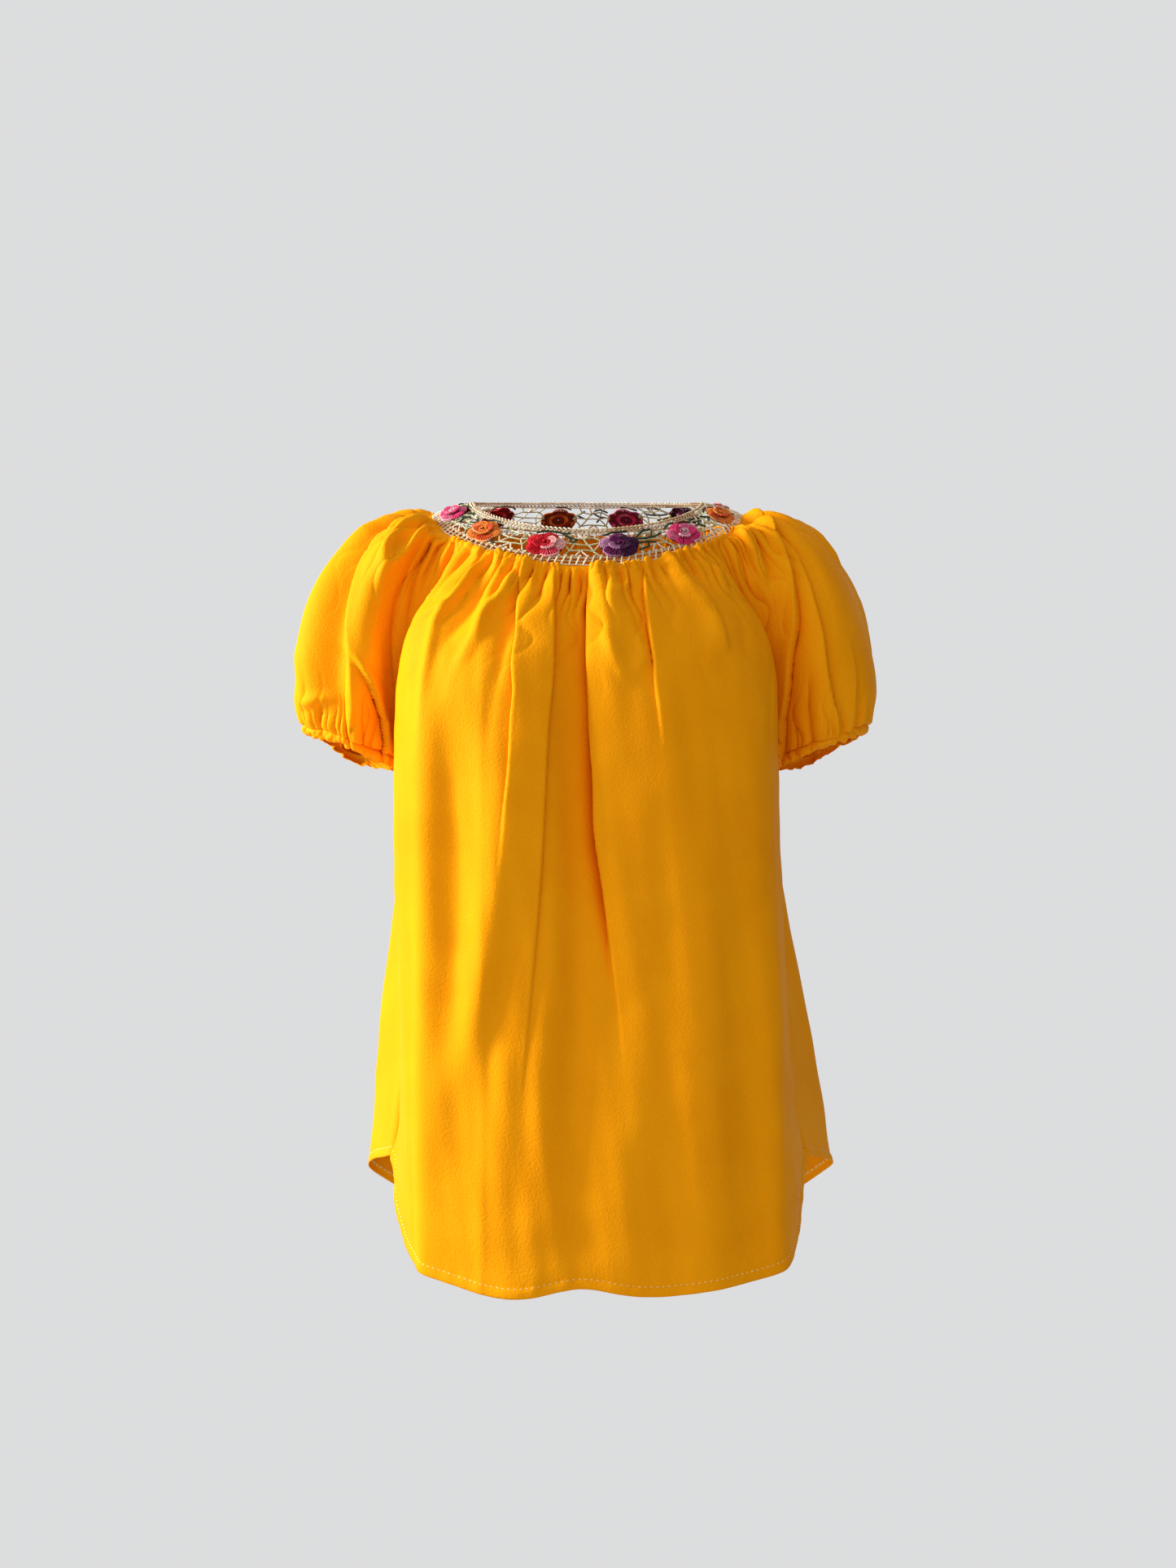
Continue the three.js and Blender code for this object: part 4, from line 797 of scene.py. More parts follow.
def finish_casing(panel, to_cuff, seed):
    """The elastic's casing: a puckered roll at the cuff, below its line of stitches."""
    casing = smooth(CASING_DEPTH + 1, CASING_DEPTH - 1, to_cuff)
    bulge = np.sin(np.pi * np.clip(to_cuff / CASING_DEPTH, 0, 1))
    groove = np.exp(-(((to_cuff - CASING_DEPTH) / 1.2) ** 2))
    pucker = ripple(panel.s, 0.5 * to_cuff, 7.5, seed + 7)
    panel.height += casing * (1.3 * bulge + 1.1 * pucker) - 1.8 * groove
    panel.slide += 1.5 * ripple(panel.s, 0 * panel.s, 11, seed + 5) * np.exp(-((to_cuff / 7) ** 2))


def make_sleeve(side):
    across = dense_across(SLEEVE_COLUMN_COUNT, SLEEVE_DENSE_PLACES, sharpness=0.08, gain=0.8)
    table = sleeve_section_table()
    if side == "left":
        mirror, seed, here, other = 1, 31, LEFT_SLEEVE_FRONT, RIGHT_SLEEVE_FRONT
    else:
        mirror, seed, here, other = -1, 41, RIGHT_SLEEVE_FRONT, LEFT_SLEEVE_FRONT
    panel = Panel(lambda s: sleeve_row(table, s), (FRONT_RAGLAN_DEG, BACK_RAGLAN_DEG),
                  SLEEVE_UNDERARM_SHARE, across, steps(SLEEVE_ROWS), 1, mirror)
    gain = 1.5 + 0.8 * smooth(90, 50, panel.d)
    for fold in [*here, *map(mirrored, other)]:
        panel.add_fold(fold, gain=gain)
    to_cuff = panel.d[-1:] - panel.d
    below = np.maximum(panel.d + 1, 0)
    above = np.maximum(to_cuff - CASING_DEPTH, 0)
    for i, row in enumerate(SLEEVE_GATHERS):
        panel.add_gathers(below, row, seed + i)
    panel.add_crinkle(below, seed + 2)
    for i, row in enumerate(CUFF_GATHERS):
        panel.add_gathers(above, row, seed + 3 + i)
    panel.add_swell(60, SLEEVE_SWELL, seed + 6)
    panel.height *= 0.45 + 0.55 * smooth(0, 14, to_cuff)
    panel.calm_edges()
    panel.add_puff(SLEEVE_PUFF)
    finish_casing(panel, to_cuff, seed)
    panel.add_neck_band(seed + 8)
    return panel


def panel_object(name, panel, material, flip, node):
    points = panel.points()
    edge = SEAM_GAP / 2
    points[:, 0] += panel.side[:, 0] * edge
    points[:, -1] -= panel.side[:, -1] * edge
    rows, columns = points.shape[:2]
    piece = new_object(name, points, grid_faces(rows, columns, flip), material)
    give_thickness(piece, CLOTH_THICK)
    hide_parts(node)
    return piece, points


class Nodes:
    """The node tree of a material or the world, built by name."""

    def __init__(self, owner):
        owner.use_nodes = True
        self.owner, self.tree = owner, owner.node_tree
        self.tree.nodes.clear()

    def add(self, kind, **settings):
        """A node with its settings, or its inputs, whose names have _ for each space."""
        node = self.tree.nodes.new(kind)
        for key, value in settings.items():
            if hasattr(node, key):
                setattr(node, key, value)
            else:
                node.inputs[key.replace("_", " ")].default_value = value
        return node

    def link(self, a, b):
        self.tree.links.new(a, b)

    def ramp(self, source, stops):
        node = self.add("ShaderNodeValToRGB")
        elements = node.color_ramp.elements
        while len(elements) < len(stops):
            elements.new(0.5)
        for element, (place, colour) in zip(elements, stops):
            element.position = place
            element.color = (*colour, 1)
        self.link(source, node.inputs["Fac"])
        return node.outputs["Color"]

    def noise(self, vector, scale, detail, roughness):
        node = self.add("ShaderNodeTexNoise", Scale=scale, Detail=detail, Roughness=roughness)
        self.link(vector, node.inputs["Vector"])
        return node.outputs["Fac"]

    def bump(self, height, distance, strength, before=None):
        node = self.add("ShaderNodeBump", Distance=distance, Strength=strength)
        self.link(height, node.inputs["Height"])
        if before is not None:
            self.link(before, node.inputs["Normal"])
        return node.outputs["Normal"]

    def multiply(self, colour, shade, strength):
        node = self.add("ShaderNodeMix", data_type="RGBA", blend_type="MULTIPLY", Factor=strength)
        self.link(colour, node.inputs["A"])
        self.link(shade, node.inputs["B"])
        return node.outputs["Result"]

    def finish(self, links, **settings):
        """The shader, with what is linked to its inputs, joined to the material's output."""
        shader = self.add("ShaderNodeBsdfPrincipled", **settings)
        for name, source in links.items():
            self.link(source, shader.inputs[name])
        out = self.add("ShaderNodeOutputMaterial")
        self.link(shader.outputs["BSDF"], out.inputs["Surface"])
        return self.owner


def cloth_material():
    """Heavy smooth crepe: mustard yellow, faintly grained, with a soft sheen."""
    nodes = Nodes(bpy.data.materials.new("crepe_mustard"))
    place = nodes.add("ShaderNodeTexCoord").outputs["Object"]
    colour = nodes.ramp(nodes.noise(place, 14, 4.0, 0.6), [
        (0.3, (0.9, 0.315, 0.0015)), (0.5, (0.93, 0.338, 0.002)), (0.72, (0.95, 0.36, 0.0025)),
    ])
    grain = nodes.noise(place, 1500, 3.0, 0.65)
    pebble = nodes.noise(place, 520, 2.0, 0.5)
    normal = nodes.bump(pebble, 0.0009, 0.45, nodes.bump(grain, 0.0003, 0.32))
    fleck = nodes.ramp(grain, [(0.35, (0.8, 0.72, 0.6)), (0.6, (1, 1, 1))])
    return nodes.finish(
        {"Base Color": nodes.multiply(colour, fleck, 0.16), "Normal": normal},
        Roughness=0.62, Specular_IOR_Level=0.03,
        Sheen_Weight=0.02, Sheen_Roughness=0.45, Sheen_Tint=(1.0, 0.6, 0.05, 1),
    )


def thread_material(name, stops, scale=90):
    """Crochet thread: its colour changes along it, with a fine twist."""
    nodes = Nodes(bpy.data.materials.new(name))
    place = nodes.add("ShaderNodeTexCoord").outputs["Object"]
    colour = nodes.ramp(nodes.noise(place, scale, 2.0, 0.5), stops)
    fibre = nodes.noise(place, 900, 2.0, 0.6)
    grey = nodes.ramp(fibre, [(0.38, (0.55, 0.55, 0.55)), (0.62, (1, 1, 1))])
    return nodes.finish(
        {"Base Color": nodes.multiply(colour, grey, 0.5), "Normal": nodes.bump(fibre, 0.0006, 0.6)},
        Roughness=0.68, Specular_IOR_Level=0.14, Sheen_Weight=0.04,
    )


class ThreadWork:
    """Crochet drawn flat (x, y, height in mm) and gathered into one mesh on the yoke."""

    def __init__(self):
        self.vertices = []
        self.faces = []
        self.shades = []
        self.count = 0

    def add(self, points, faces, shade=0):
        points = np.asarray(points, float).reshape(-1, 3)
        self.vertices.append(points)
        self.faces.extend((np.asarray(faces) + self.count).tolist())
        self.shades.extend([shade] * len(faces))
        self.count += len(points)

    def tube(self, path, radius, sides=5, knob=0.0, pitch=1.7, phase=0.0, taper=(1, 1), shade=0):
        """A thread along a flat path, with knobs of the given share of its radius, and rounded ends."""
        path = np.asarray(path, float)
        at = lengths_along(path)
        rings = max(3, int(at[-1] / (pitch / STEPS_A_KNOB if knob else THREAD_STEP)) + 1)
        want = np.linspace(0, at[-1], rings)
        size = radius * np.interp(want, [0, at[-1]], taper)
        size = size * (1 + knob * np.sin(2 * math.pi * want / pitch + phase))
        ends = np.minimum(want, at[-1] - want)
        size = size * np.sqrt(np.clip(ends / radius + 0.15, 0.15, 1))
        points = tube_points(read_line(path, at, want), np.array([0, 0, 1.0]), size, sides)
        self.add(points, ring_faces(rings, sides), shade)

    def leaf(self, start, end, radius):
        """One fat loop of a chain stitch."""
        start, end = np.asarray(start, float), np.asarray(end, float)
        middle = (start + end) / 2
        path = [(*start, 0.4), (*((start + middle) / 2), 1.0), (*middle, 1.1), (*((end + middle) / 2), 0.9),
                (*end, 0.2)]
        self.tube(path, radius)

    def object(self, name, materials, slot):
        flat = np.concatenate(self.vertices)
        piece = new_object(name, yoke_point(flat), self.faces, materials[0])
        for material in materials[1:]:
            piece.data.materials.append(material)
        piece.data.polygons.foreach_set("material_index", self.shades)
        return piece


def sagging(a, b, seed):
    """A thread between two knots, slightly bowed."""
    rng = random.Random(seed)
    a, b = np.asarray(a, float), np.asarray(b, float)
    across = np.array([-(b - a)[1], (b - a)[0]])
    across = across / max(np.linalg.norm(across), 1e-6) * BAR_SAG * rng.uniform(-1, 1)
    out = []
    for t in np.linspace(0, 1, 7):
        p = a + (b - a) * t + across * math.sin(math.pi * t)
        out.append((p[0], p[1], BAR_ARCH * math.sin(math.pi * t)))
    return out


def add_braid_row(work, x0, x1, y, pitch, width, radius, row):
    """A row of chain stitches: slanted loops with gaps, cream on the wearer's right and tan on the left."""
    rng = random.Random(int(x0) * 7 + row)
    count = int(round((x1 - x0) / pitch))
    pitch = (x1 - x0) / count
    for i in range(count):
        x = x0 + i * pitch
        tan_share = 0.2 + 0.6 * float(smooth(-60, 40, x)) if abs(x) < 120 else 0.5
        colour = "tan" if rng.random() < tan_share else "cream"
        slant = 1 if row % 2 else -1
        start = (x, y - slant * width / 2)
        end = (x + pitch * 1.05, y + slant * width / 2)
        work[colour].leaf(start, end, radius)
        work["tan"].tube([(x, y - 0.2 * width, 0), (x + pitch, y - 0.2 * width, 0)], radius * 0.45)


def make_net(start_deg, end_deg):
    """Braid, net, ladder and stems of the yoke from one angle to another, by colour."""
    work = {name: ThreadWork() for name in ("cream", "tan", "sage", "green")}
    x0, x1 = start_deg * MM_PER_DEG, end_deg * MM_PER_DEG
    for row, (y, pitch, width, radius) in enumerate(BRAID_ROWS):
        add_braid_row(work, x0, x1, y, pitch, width, radius, row)
    for y, radius in LADDER_RAILS:
        n = int((x1 - x0) / RAIL_STEP)
        line = [(x, y + 0.3 * math.sin(i * 1.3 + y), 0.1 + 0.2 * math.sin(i * 0.9 + y))
                for i, x in enumerate(np.linspace(x0, x1, n))]
        work["tan"].tube(line, radius, knob=0.22, pitch=2.4, phase=y)
    rungs = int((x1 - x0) / RUNG_PITCH)
    for i in range(rungs):
        rng = random.Random(900 + i + int(start_deg))
        x = x0 + (i + 0.5) * (x1 - x0) / rungs
        slant = rng.uniform(0.4, 1.8)
        rung = [(x + share * slant, y, height) for share, y, height in RUNG]
        work["cream"].tube(rung, RUNG_RADIUS, knob=0.14, pitch=2.0)
        hook = [(x + slant + dx, y, height) for dx, y, height in RUNG_HOOK]
        work["cream"].tube(hook, HOOK_RADIUS)
    first = int(math.floor((start_deg - FIRST_FLOWER_DEG) / REPEAT_DEG))
    spaces = int(round((end_deg - start_deg) / REPEAT_DEG)) + 1
    for k in range(spaces + 1):
        space = first + k
        middle = (FIRST_FLOWER_DEG + REPEAT_DEG * (space + 0.5)) * MM_PER_DEG
        add_space(work, middle, space, x0, x1)
    for index in range(-1, FLOWER_COUNT + 1):
        add_stems(work, index, x0, x1)
    return work


# Dark green stems by the rose that they grow from: pink, orange, red, purple. Each is (x, y) places from the
# rose's middle.
STEMS = [
    [
        [(-14, 9), (-6, 13), (2, 14)], [(15, 7), (22, 11), (27, 9)], [(16, 1), (23, 2), (28, 6)],
        [(22, 2), (26, -4)], [(-20, -9), (-9, -10), (-2, -13)],
    ],
    [
        [(-23, 9), (-16, 4), (-23, 0)], [(-16, 4), (-13, 0)], [(-10, 11), (-3, 14), (6, 14)],
        [(12, -8), (18, -11)],
    ],
    [
        [(-12, 10), (-6, 13.5), (3, 14), (10, 13)], [(8, 13), (14, 12), (19, 13)],
        [(13, 10), (18, 8), (25, 5), (21, 1)], [(18, 8), (20, 3)],
    ],
    [
        [(-12, 10), (-3, 13.5), (11, 13.5)], [(15, 4), (20, 8), (25, 12), (27, 14)],
        [(22, 10), (28, 12), (33, 12)], [(16, 3), (24, 2), (29, 3), (33, 10)], [(28, 2), (34, 3), (40, 5)],
        [(16, -2), (24, -2), (31, -4)], [(24, -2), (23, -7), (14, -9)],
    ],
]

STEM_RADIUS = 0.82
STEM_LIMITS = (8, 36)

# The braid at the neck: each row's place, stitch, width and thread
BRAID_ROWS = [(40.2, 4.4, 2.3, 0.7), (36.8, 4.2, 2.0, 0.64), (34.2, 3.6, 0.6, 0.46)]

# The ladder at the outer edge: its rails (place, thread), a rung (share of its slant, y, height) and the hook
# on it (x from its end, y, height)
LADDER_RAILS = [(1.2, 0.6), (4.4, 0.45), (7.4, 0.6), (8.3, 0.5)]
RAIL_STEP = 3
RUNG_PITCH = 5.2
RUNG_RADIUS = 0.66
HOOK_RADIUS = 0.46
RUNG = [(-1, 0.6, 0.2), (-0.3, 3.5, 0.4), (0.5, 6.4, 0.8), (1, 8.8, 0.5)]
RUNG_HOOK = [(0, 7.6, 0.5), (1.0, 9.4, 1.0), (-1.2, 9.2, 0.7)]

# The net between two flowers: its knots from the middle of the space, and its bars by the knots they join
BAR_RADIUS = {"cream": 0.7, "sage": 0.62}
BAR_SAG = 0.6
TIED_WANDER = 0.6
FREE_WANDER = 1.5
KNOT_RISE = 1.2
BAR_ARCH = 0.35
FOOT_Y = 8.6
BRAID_Y = 34.4
SPACE_KNOTS = {
    "braid_a": (-13, BRAID_Y), "braid_b": (-4.5, BRAID_Y),
    "braid_c": (1.5, BRAID_Y), "braid_d": (12, BRAID_Y),
    "high_a": (-9, 29), "high_b": (1.0, 27.5), "high_c": (9, 29.2),
    "left": (-16, 22), "mid_a": (-6.5, 21.5), "mid_b": (4, 20), "right": (16, 23),
    "low_a": (-10.5, 14.5), "low_b": (0, 15.6), "low_c": (9.5, 14),
    "foot_a": (-14.5, FOOT_Y), "foot_b": (-5, FOOT_Y), "foot_c": (5.2, FOOT_Y), "foot_d": (14.5, FOOT_Y),
}
SPACE_BARS = {
    "cream": [("braid_b", "high_b"), ("braid_c", "high_b"), ("foot_b", "low_b"), ("foot_c", "low_b")],
    "sage": [
        ("braid_a", "high_a"), ("braid_d", "high_c"), ("high_a", "high_b"), ("high_b", "high_c"),
        ("high_a", "left"), ("high_c", "right"), ("high_a", "mid_a"), ("high_b", "mid_b"), ("mid_a", "mid_b"),
        ("left", "low_a"), ("mid_a", "low_a"), ("mid_b", "low_c"), ("right", "low_c"), ("mid_b", "right"),
        ("low_a", "low_b"), ("low_b", "low_c"), ("low_a", "foot_a"), ("low_c", "foot_d"), ("mid_a", "left"),
    ],
}


def add_space(work, middle, space, x0, x1):
    """The net between two flowers, where it lies between x0 and x1."""
    rng = random.Random(400 + space)
    mirror = -1 if space % 3 == 1 else 1
    place = {}
    for name, (x, y) in SPACE_KNOTS.items():
        tied = y in (FOOT_Y, BRAID_Y)
        wander = TIED_WANDER if tied else FREE_WANDER
        knot_x = middle + mirror * x + rng.uniform(-wander, wander)
        place[name] = (knot_x, y if tied else y + rng.uniform(-KNOT_RISE, KNOT_RISE))
    for colour, bars in SPACE_BARS.items():
        for i, (a, b) in enumerate(bars):
            if not any(x0 - 0.01 <= place[knot][0] <= x1 + 0.01 for knot in (a, b)):
                continue
            path = sagging(place[a], place[b], space * 50 + i)
            path = [(min(max(x, x0), x1), y, height) for x, y, height in path]
            work[colour].tube(path, BAR_RADIUS[colour], knob=0.3, pitch=1.6, phase=i)


def add_stems(work, index, x0, x1):
    """Dark green sprays beside one rose."""
    x = (FIRST_FLOWER_DEG + index * REPEAT_DEG) * MM_PER_DEG
    for i, line in enumerate(STEMS[index % len(STEMS)]):
        path = [(x + dx, NET_CENTRE + 2 + dy, 1.0) for dx, dy in line]
        low, high = STEM_LIMITS
        if all(x0 < px < x1 and low < py < high for px, py, _ in path):
            work["green"].tube(path, STEM_RADIUS, sides=6, knob=0.28, pitch=1.5, phase=i)


# The stitch at the end of a two-coloured spoke: turn, mm beyond the spoke's end and mm above it
TIP_STITCH = [(-0.05, -1.7, 1.0), (0, -0.4, 0.9), (0.05, 0.3, -0.1)]
SPOKE_TAPER = (0.55, 1.2)


def rose_petal(work, place, direction, petals, shade, tip, rng):
    """A fan of crochet stitches from the rose's middle out to a rounded petal edge."""
    spread, spokes, radius = petals.spread, petals.spokes, petals.radius
    inner, outer = petals.reach
    foot, crest, lip = petals.heights

    def petal_edge(t):
        """The petal's reach and height at its edge, from -1 at one side to 1 at the other."""
        return outer * (1 - 0.15 * abs(t) ** 3), lip - 0.8 * abs(t) ** 3

    for k in range(spokes):
        t = 2 * k / (spokes - 1) - 1
        a = direction + spread * t
        end, low = petal_edge(t)
        end = end + rng.uniform(-0.3, 0.3)
        sway = rng.uniform(-0.03, 0.03)
        path = [
            place(a, inner, foot),
            place(a + sway, inner + (end - inner) * 0.35, crest - 0.4),
            place(a + sway, inner + (end - inner) * 0.7, crest - 0.3 * abs(t)),
            place(a, end - 0.5, low + 0.5),
            place(a, end, low),
        ]
        phase = rng.uniform(0, 6)
        work.tube(path, radius, knob=0.14, pitch=2.1, phase=phase, taper=SPOKE_TAPER, shade=shade)
        if tip is not None:
            stitch = [place(a + turn, end + r, low + h) for turn, r, h in TIP_STITCH]
            work.tube(stitch, radius * 0.9, shade=tip)
    rim = [place(direction + spread * -1, (inner + outer) / 2, crest - 0.2)]
    for t in np.linspace(-1, 1, 9):
        end, low = petal_edge(t)
        rim.append(place(direction + spread * t, end - 0.6, low + 1.0))
    rim.append(place(direction + spread, (inner + outer) / 2, crest - 0.2))
    work.tube(rim, RIM_RADIUS, knob=0.28, pitch=2.0, shade=shade if tip is None else tip)


# The rings of petals: how many, the first one's direction, its turn by the rose's own spin, half of a petal's
# spread, its stitches, its reach from and to, its heights (foot, crest, lip) and its thread
Petals = collections.namedtuple("Petals", "count first_deg spin spread spokes reach heights radius")
PETALS = {
    "outer": Petals(5, 90, 1, 0.58, 9, (5.6, ROSE_HALF_WIDTH), (1.0, 2.4, 0.7), 0.72),
    "inner": Petals(4, 45, 2, 0.7, 7, (3.4, 9.8), (1.6, 4.6, 3.9), 0.66),
}
RIM_RADIUS = 0.55
HEART_RADIUS = 0.8
# The sheet under a rose's stitches: its points round and its rings as (reach, height). It is coloured as
# painted shade, to darken the gaps between the stitches.
SHADE_SHEET_SIDES = 72
SHADE_SHEET_PROFILE = [(0.5, 1.3), (5, 1.3), (10, 1.5), (14, 0.9), (15.2, 0.2)]


def rose_object(index, colour, plan, materials):
    """A crochet rose over a sheet of painted shade, which darkens the gaps between its stitches: five petals
    of radial stitches, four over them and a curled heart.
    """
    x = (FIRST_FLOWER_DEG + index * REPEAT_DEG) * MM_PER_DEG
    rng = random.Random(70 + index)
    flatten = ROSE_HALF_DEPTH / ROSE_HALF_WIDTH
    turned = 0 if 1 <= index <= 4 else rng.choice([1, 2, 3])
    spin = rng.uniform(-0.15, 0.15)

    def place(angle, radius, height):
        return (x + radius * math.cos(angle), NET_CENTRE + flatten * radius * math.sin(angle), height)

    work = ThreadWork()
    # A sheet of painted shade under the stitches: it takes the rose's last material, its main colour at a
    # fifth.
    turns = [2 * math.pi * j / SHADE_SHEET_SIDES for j in range(SHADE_SHEET_SIDES)]
    shade_sheet = [place(turn, radius, height) for radius, height in SHADE_SHEET_PROFILE for turn in turns]
    work.add(shade_sheet, ring_faces(len(SHADE_SHEET_PROFILE), SHADE_SHEET_SIDES), len(materials) - 1)
    for name, ring in PETALS.items():
        for k in range(ring.count):
            direction = math.radians(ring.first_deg + 360 / ring.count * k) + spin * ring.spin
            shade, tip = plan[name][(k + turned) % ring.count]
            rose_petal(work, place, direction, ring, shade, tip, rng)
    curl = []
    for t in np.linspace(0, 1, 40):
        radius = 4.6 * (1 - t) ** 0.8 + 0.5
        curl.append(place(spin + t * 3.6 * math.pi, radius, 3.6 - 0.7 * math.cos(t * math.pi)))
    work.tube(curl, HEART_RADIUS, sides=6, knob=0.3, pitch=1.9, shade=plan["heart"])
    piece = work.object(f"rose_{index + 1}_{colour}", materials, f"thread_{colour}")
    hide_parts(f"flower_{index + 1}_{colour}")


Stitch = collections.namedtuple("Stitch", "pitch length radius lift")
HEM_STITCH = Stitch(4.8, 3.5, 0.6, 0.5)
CUFF_STITCH = Stitch(3.0, 2.2, 0.36, 0.25)


def stitch_line(name, line, normals, stitch, material):
    """A row of short thread stitches laid on a line of points, in mm."""
    at = lengths_along(line)
    vertices, faces = [], []
    arch = np.sin(np.linspace(0, math.pi, STITCH_STEPS))
    size = stitch.radius * (0.45 + 0.55 * arch)
    for i in range(int(at[-1] / stitch.pitch)):
        start = i * stitch.pitch + 0.3
        want = np.linspace(start, start + stitch.length, STITCH_STEPS)
        outward = unit(read_line(normals, at, want))
        path = read_line(line, at, want) + outward * (stitch.lift * arch - 0.15)[:, None]
        faces.extend(ring_faces(STITCH_STEPS, STITCH_SIDES, len(vertices)))
        vertices.extend(tube_points(path, outward, size, STITCH_SIDES).reshape(-1, 3))
    return new_object(name, np.array(vertices), faces, material)


def surface_line(panel, points, from_end):
    """A line across a panel a set distance above its last row, with the surface's direction there."""
    to_end = panel.d[-1:] - panel.d
    line, normals = [], []
    for column in range(points.shape[1]):
        order = np.argsort(to_end[:, column])
        at = to_end[order, column]
        line.append(read_line(points[order, column], at, from_end))
        normals.append(read_line(panel.normal[order, column], at, from_end))
    return np.array(line), unit(np.array(normals))


SENSOR_WIDTH = 36
LENS = 59.56
CAMERA_PLACE = (-0.0031, -2.2, -0.223)


def make_camera():
    """Level and straight on, 2.2 m from the shoulders, as the photograph was taken."""
    data = bpy.data.cameras.new("camera")
    data.sensor_width = SENSOR_WIDTH
    data.lens = LENS
    camera = bpy.data.objects.new("camera", data)
    bpy.context.scene.collection.objects.link(camera)
    camera.location = CAMERA_PLACE
    camera.rotation_euler = (math.pi / 2, 0, 0)
    bpy.context.scene.camera = camera


def area_light(name, location, target, size, power, colour):
    data = bpy.data.lights.new(name, "AREA")
    data.shape = "RECTANGLE"
    data.size, data.size_y = size
    data.energy = power
    data.color = colour
    light = bpy.data.objects.new(name, data)
    bpy.context.scene.collection.objects.link(light)
    light.location = location
    offset = np.array(target) - np.array(location)
    distance = np.linalg.norm(offset)
    tilt, turn = math.acos(-offset[2] / distance), math.atan2(offset[1], offset[0])
    light.rotation_euler = (tilt, 0, turn - math.pi / 2)


# How bright the room is from its window side, at 0, to its dark side, at 1
ROOM_LIGHT = [(0, 0.74), (0.3, 0.86), (0.5, 0.9), (0.7, 0.56), (1, 0.14)]
WALL_LIGHT = 0.73
WINDOW = dict(location=(-2.75, -0.15, 0.7), target=(0, 0, -0.3), size=(0.6, 0.9), power=152,
              colour=(1.0, 0.99, 0.95))
FLOOR_REACH = 3.5
FLOOR_LEVEL = -2.1
FLOOR_GREY = (0.6, 0.6, 0.61, 1)


def room_world():
    """An even pale wall behind, and in front of it a room lit from the camera's left."""
    world = bpy.data.worlds.new("studio")
    bpy.context.scene.world = world
    nodes = Nodes(world)
    split = nodes.add("ShaderNodeSeparateXYZ")
    nodes.link(nodes.add("ShaderNodeTexCoord").outputs["Generated"], split.inputs["Vector"])
    across = nodes.add("ShaderNodeMapRange", From_Min=-1, From_Max=1)
    nodes.link(split.outputs["X"], across.inputs["Value"])
    shades = nodes.ramp(across.outputs["Result"], [(place, (level,) * 3) for place, level in ROOM_LIGHT])
    behind = nodes.add("ShaderNodeMapRange", From_Min=0.45, From_Max=0.8)
    nodes.link(split.outputs["Y"], behind.inputs["Value"])
    wall = (WALL_LIGHT * 0.985, WALL_LIGHT * 0.99, WALL_LIGHT, 1)
    blend = nodes.add("ShaderNodeMix", data_type="RGBA", B=wall)
    nodes.link(behind.outputs["Result"], blend.inputs["Factor"])
    nodes.link(shades, blend.inputs["A"])
    background = nodes.add("ShaderNodeBackground", Strength=1)
    nodes.link(blend.outputs["Result"], background.inputs["Color"])
    out = nodes.add("ShaderNodeOutputWorld")
    nodes.link(background.outputs["Background"], out.inputs["Surface"])


def make_studio():
    """A room with a pale wall, a floor well below, and a soft window to the camera's left."""
    room_world()
    bpy.context.scene.view_settings.view_transform = "Standard"
    area_light("window", **WINDOW)
    mesh = bpy.data.meshes.new("floor")
    corners = [(-1, -1), (1, -1), (1, 1), (-1, 1)]
    points = [(FLOOR_REACH * x, FLOOR_REACH * y, FLOOR_LEVEL) for x, y in corners]
    mesh.from_pydata(points, [], [(0, 1, 2, 3)])
    floor = bpy.data.objects.new("floor", mesh)
    bpy.context.scene.collection.objects.link(floor)
    nodes = Nodes(bpy.data.materials.new("pale_floor"))
    mesh.materials.append(nodes.finish({}, Base_Color=FLOOR_GREY, Roughness=0.8))


make_camera()
make_studio()
random.seed(SEED)

crepe = cloth_material()
topstitch = thread_material("hem_thread", [(0.3, (0.9, 0.72, 0.36)), (0.7, (0.96, 0.84, 0.52))], scale=60)
cuff_thread = thread_material("cuff_thread", [(0.3, (0.8, 0.34, 0.02)), (0.7, (0.88, 0.42, 0.04))], scale=60)

front_panel = make_front()
front, front_points = panel_object("blouse_front", front_panel, crepe, True, "front")
back_panel = make_back()
back, back_points = panel_object("blouse_back", back_panel, crepe, False, "back")
sleeves = {}
for side, node, flip in (("left", "sleeve_left", True), ("right", "sleeve_right", False)):
    panel = make_sleeve(side)
    piece, points = panel_object(f"blouse_sleeve_{side}", panel, crepe, flip, node)
    sleeves[side] = (panel, piece, points)

front_line = surface_line(front_panel, front_points, HEM_DEPTH)
front_stitches = stitch_line("hem_stitches_front", *front_line, HEM_STITCH, topstitch)
back_line = surface_line(back_panel, back_points, HEM_DEPTH)
back_stitches = stitch_line("hem_stitches_back", *back_line, HEM_STITCH, topstitch)
for side, (panel, piece, points) in sleeves.items():
    line = surface_line(panel, points, CASING_DEPTH)
    stitch_line(f"cuff_stitches_{side}", *line, CUFF_STITCH, cuff_thread)

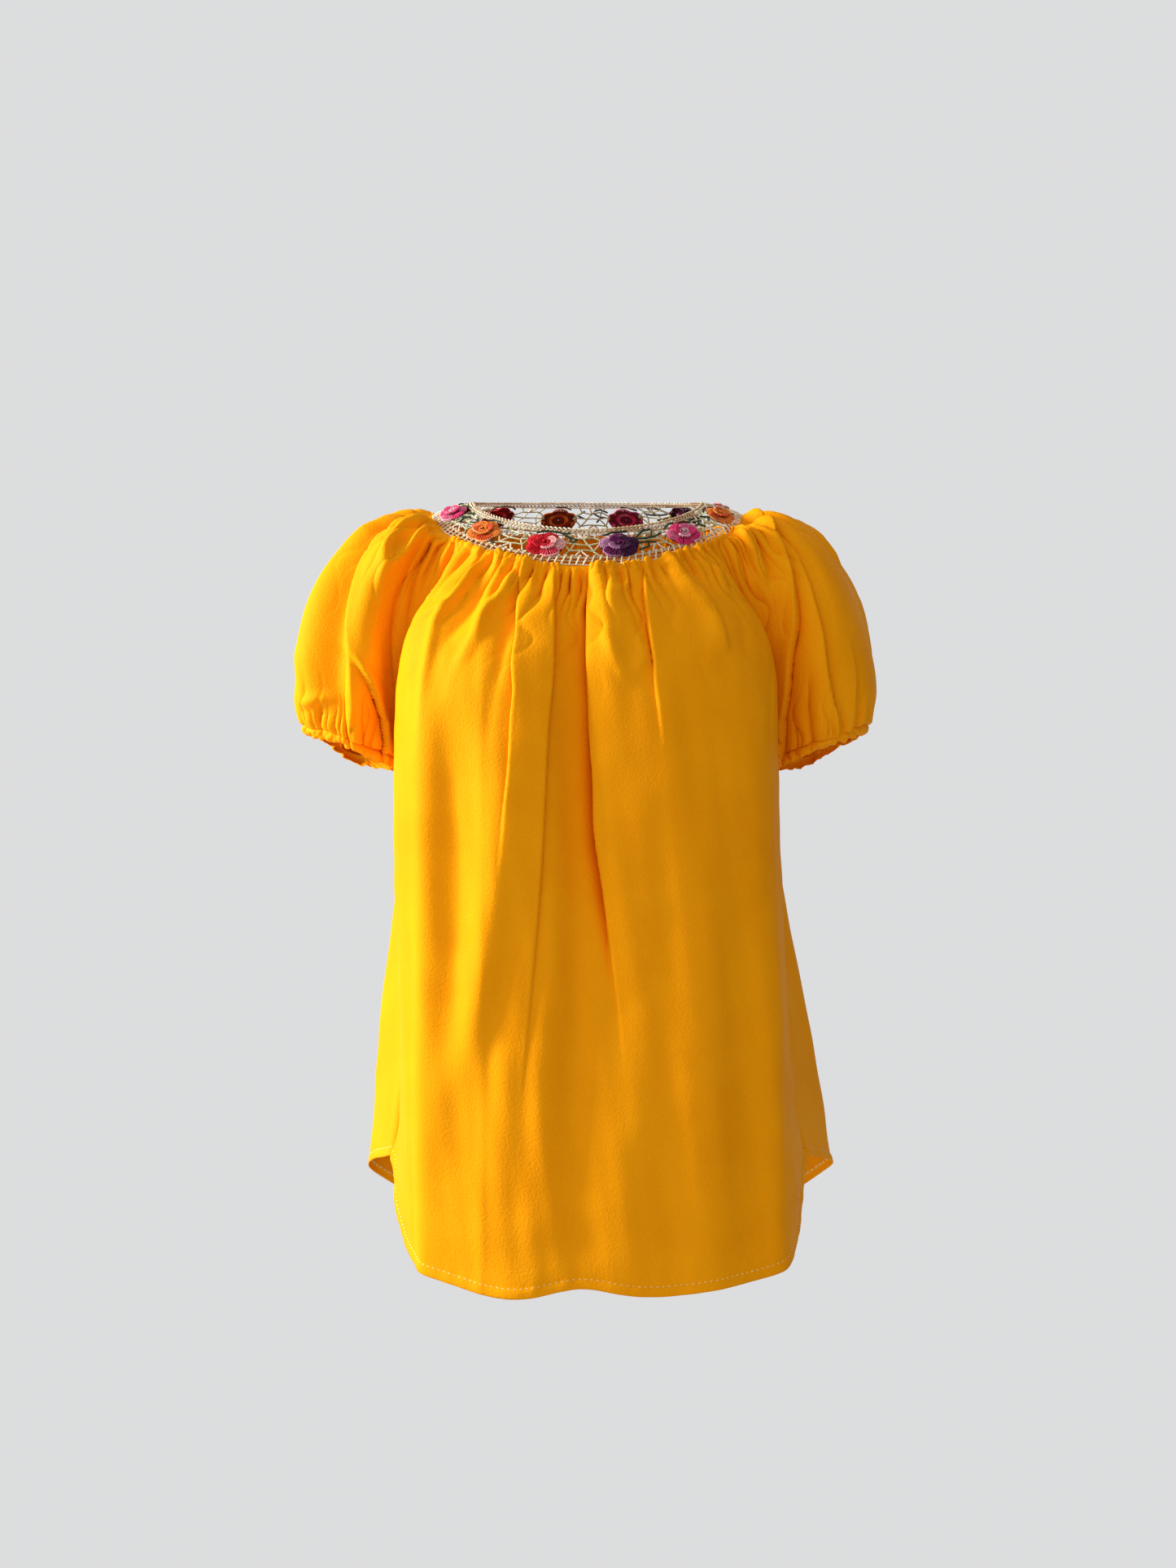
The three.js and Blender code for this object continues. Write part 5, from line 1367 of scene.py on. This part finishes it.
THREADS = {
    "cream": [(0.3, (0.74, 0.6, 0.4)), (0.7, (0.92, 0.83, 0.62))],
    "tan": [(0.3, (0.55, 0.35, 0.17)), (0.7, (0.78, 0.58, 0.34))],
    "sage": [(0.3, (0.38, 0.42, 0.18)), (0.5, (0.6, 0.6, 0.35)), (0.75, (0.85, 0.8, 0.58))],
    "green": [(0.3, (0.012, 0.022, 0.012)), (0.7, (0.05, 0.075, 0.03))],
}
thread_materials = {name: thread_material(f"thread_{name}", stops) for name, stops in THREADS.items()}
half_start = FIRST_FLOWER_DEG - REPEAT_DEG // 2
for half in ("front", "back"):
    work = make_net(half_start, half_start + 180)
    half_start += 180
    for name, threads in work.items():
        piece = threads.object(f"crochet_{half}_{name}", [thread_materials[name]], "lace")
        if name == "tan":
            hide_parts(f"yoke_{half}")

# Each rose's colours, and which of them (with the colour of its stitch ends) each petal takes, turning from
# the top
ROSES = {
    "pink": dict(
        colours=[(0.8, 0.035, 0.17), (0.88, 0.18, 0.32), (0.92, 0.5, 0.56)],
        outer=[(0, None), (1, None), (0, None), (0, 2), (1, 2)],
        inner=[(1, None), (0, None), (1, 2), (0, None)],
        heart=2),
    "orange": dict(
        colours=[(0.8, 0.1, 0.012), (0.9, 0.24, 0.03), (0.93, 0.47, 0.2)],
        outer=[(1, None), (0, None), (1, None), (0, 2), (1, None)],
        inner=[(0, None), (1, None), (0, 2), (1, None)],
        heart=1),
    "red": dict(
        colours=[(0.68, 0.004, 0.016), (0.85, 0.06, 0.1), (0.92, 0.45, 0.42)],
        outer=[(0, None), (0, None), (0, None), (1, 2), (2, None)],
        inner=[(2, None), (0, None), (0, None), (1, 2)],
        heart=0),
    "purple": dict(
        colours=[(0.06, 0.006, 0.045), (0.2, 0.02, 0.12), (0.55, 0.24, 0.4)],
        outer=[(1, None), (2, None), (1, 2), (0, None), (0, None)],
        inner=[(0, None), (1, None), (2, None), (0, None)],
        heart=1),
}
# Each rose's thread materials, and last a painted shade: its first colour at a fifth, for the sheet that
# darkens the gaps between its stitches.
rose_materials = {}
for name, plan in ROSES.items():
    rose_materials[name] = [
        thread_material(f"rose_{name}_{i}", [(0.3, tuple(0.72 * c for c in shade)), (0.65, shade)], scale=260)
        for i, shade in enumerate([*plan["colours"], tuple(0.2 * c for c in plan["colours"][0])])
    ]
for i in range(FLOWER_COUNT):
    colour = list(ROSES)[i % len(ROSES)]
    rose_object(i, colour, ROSES[colour], rose_materials[colour])
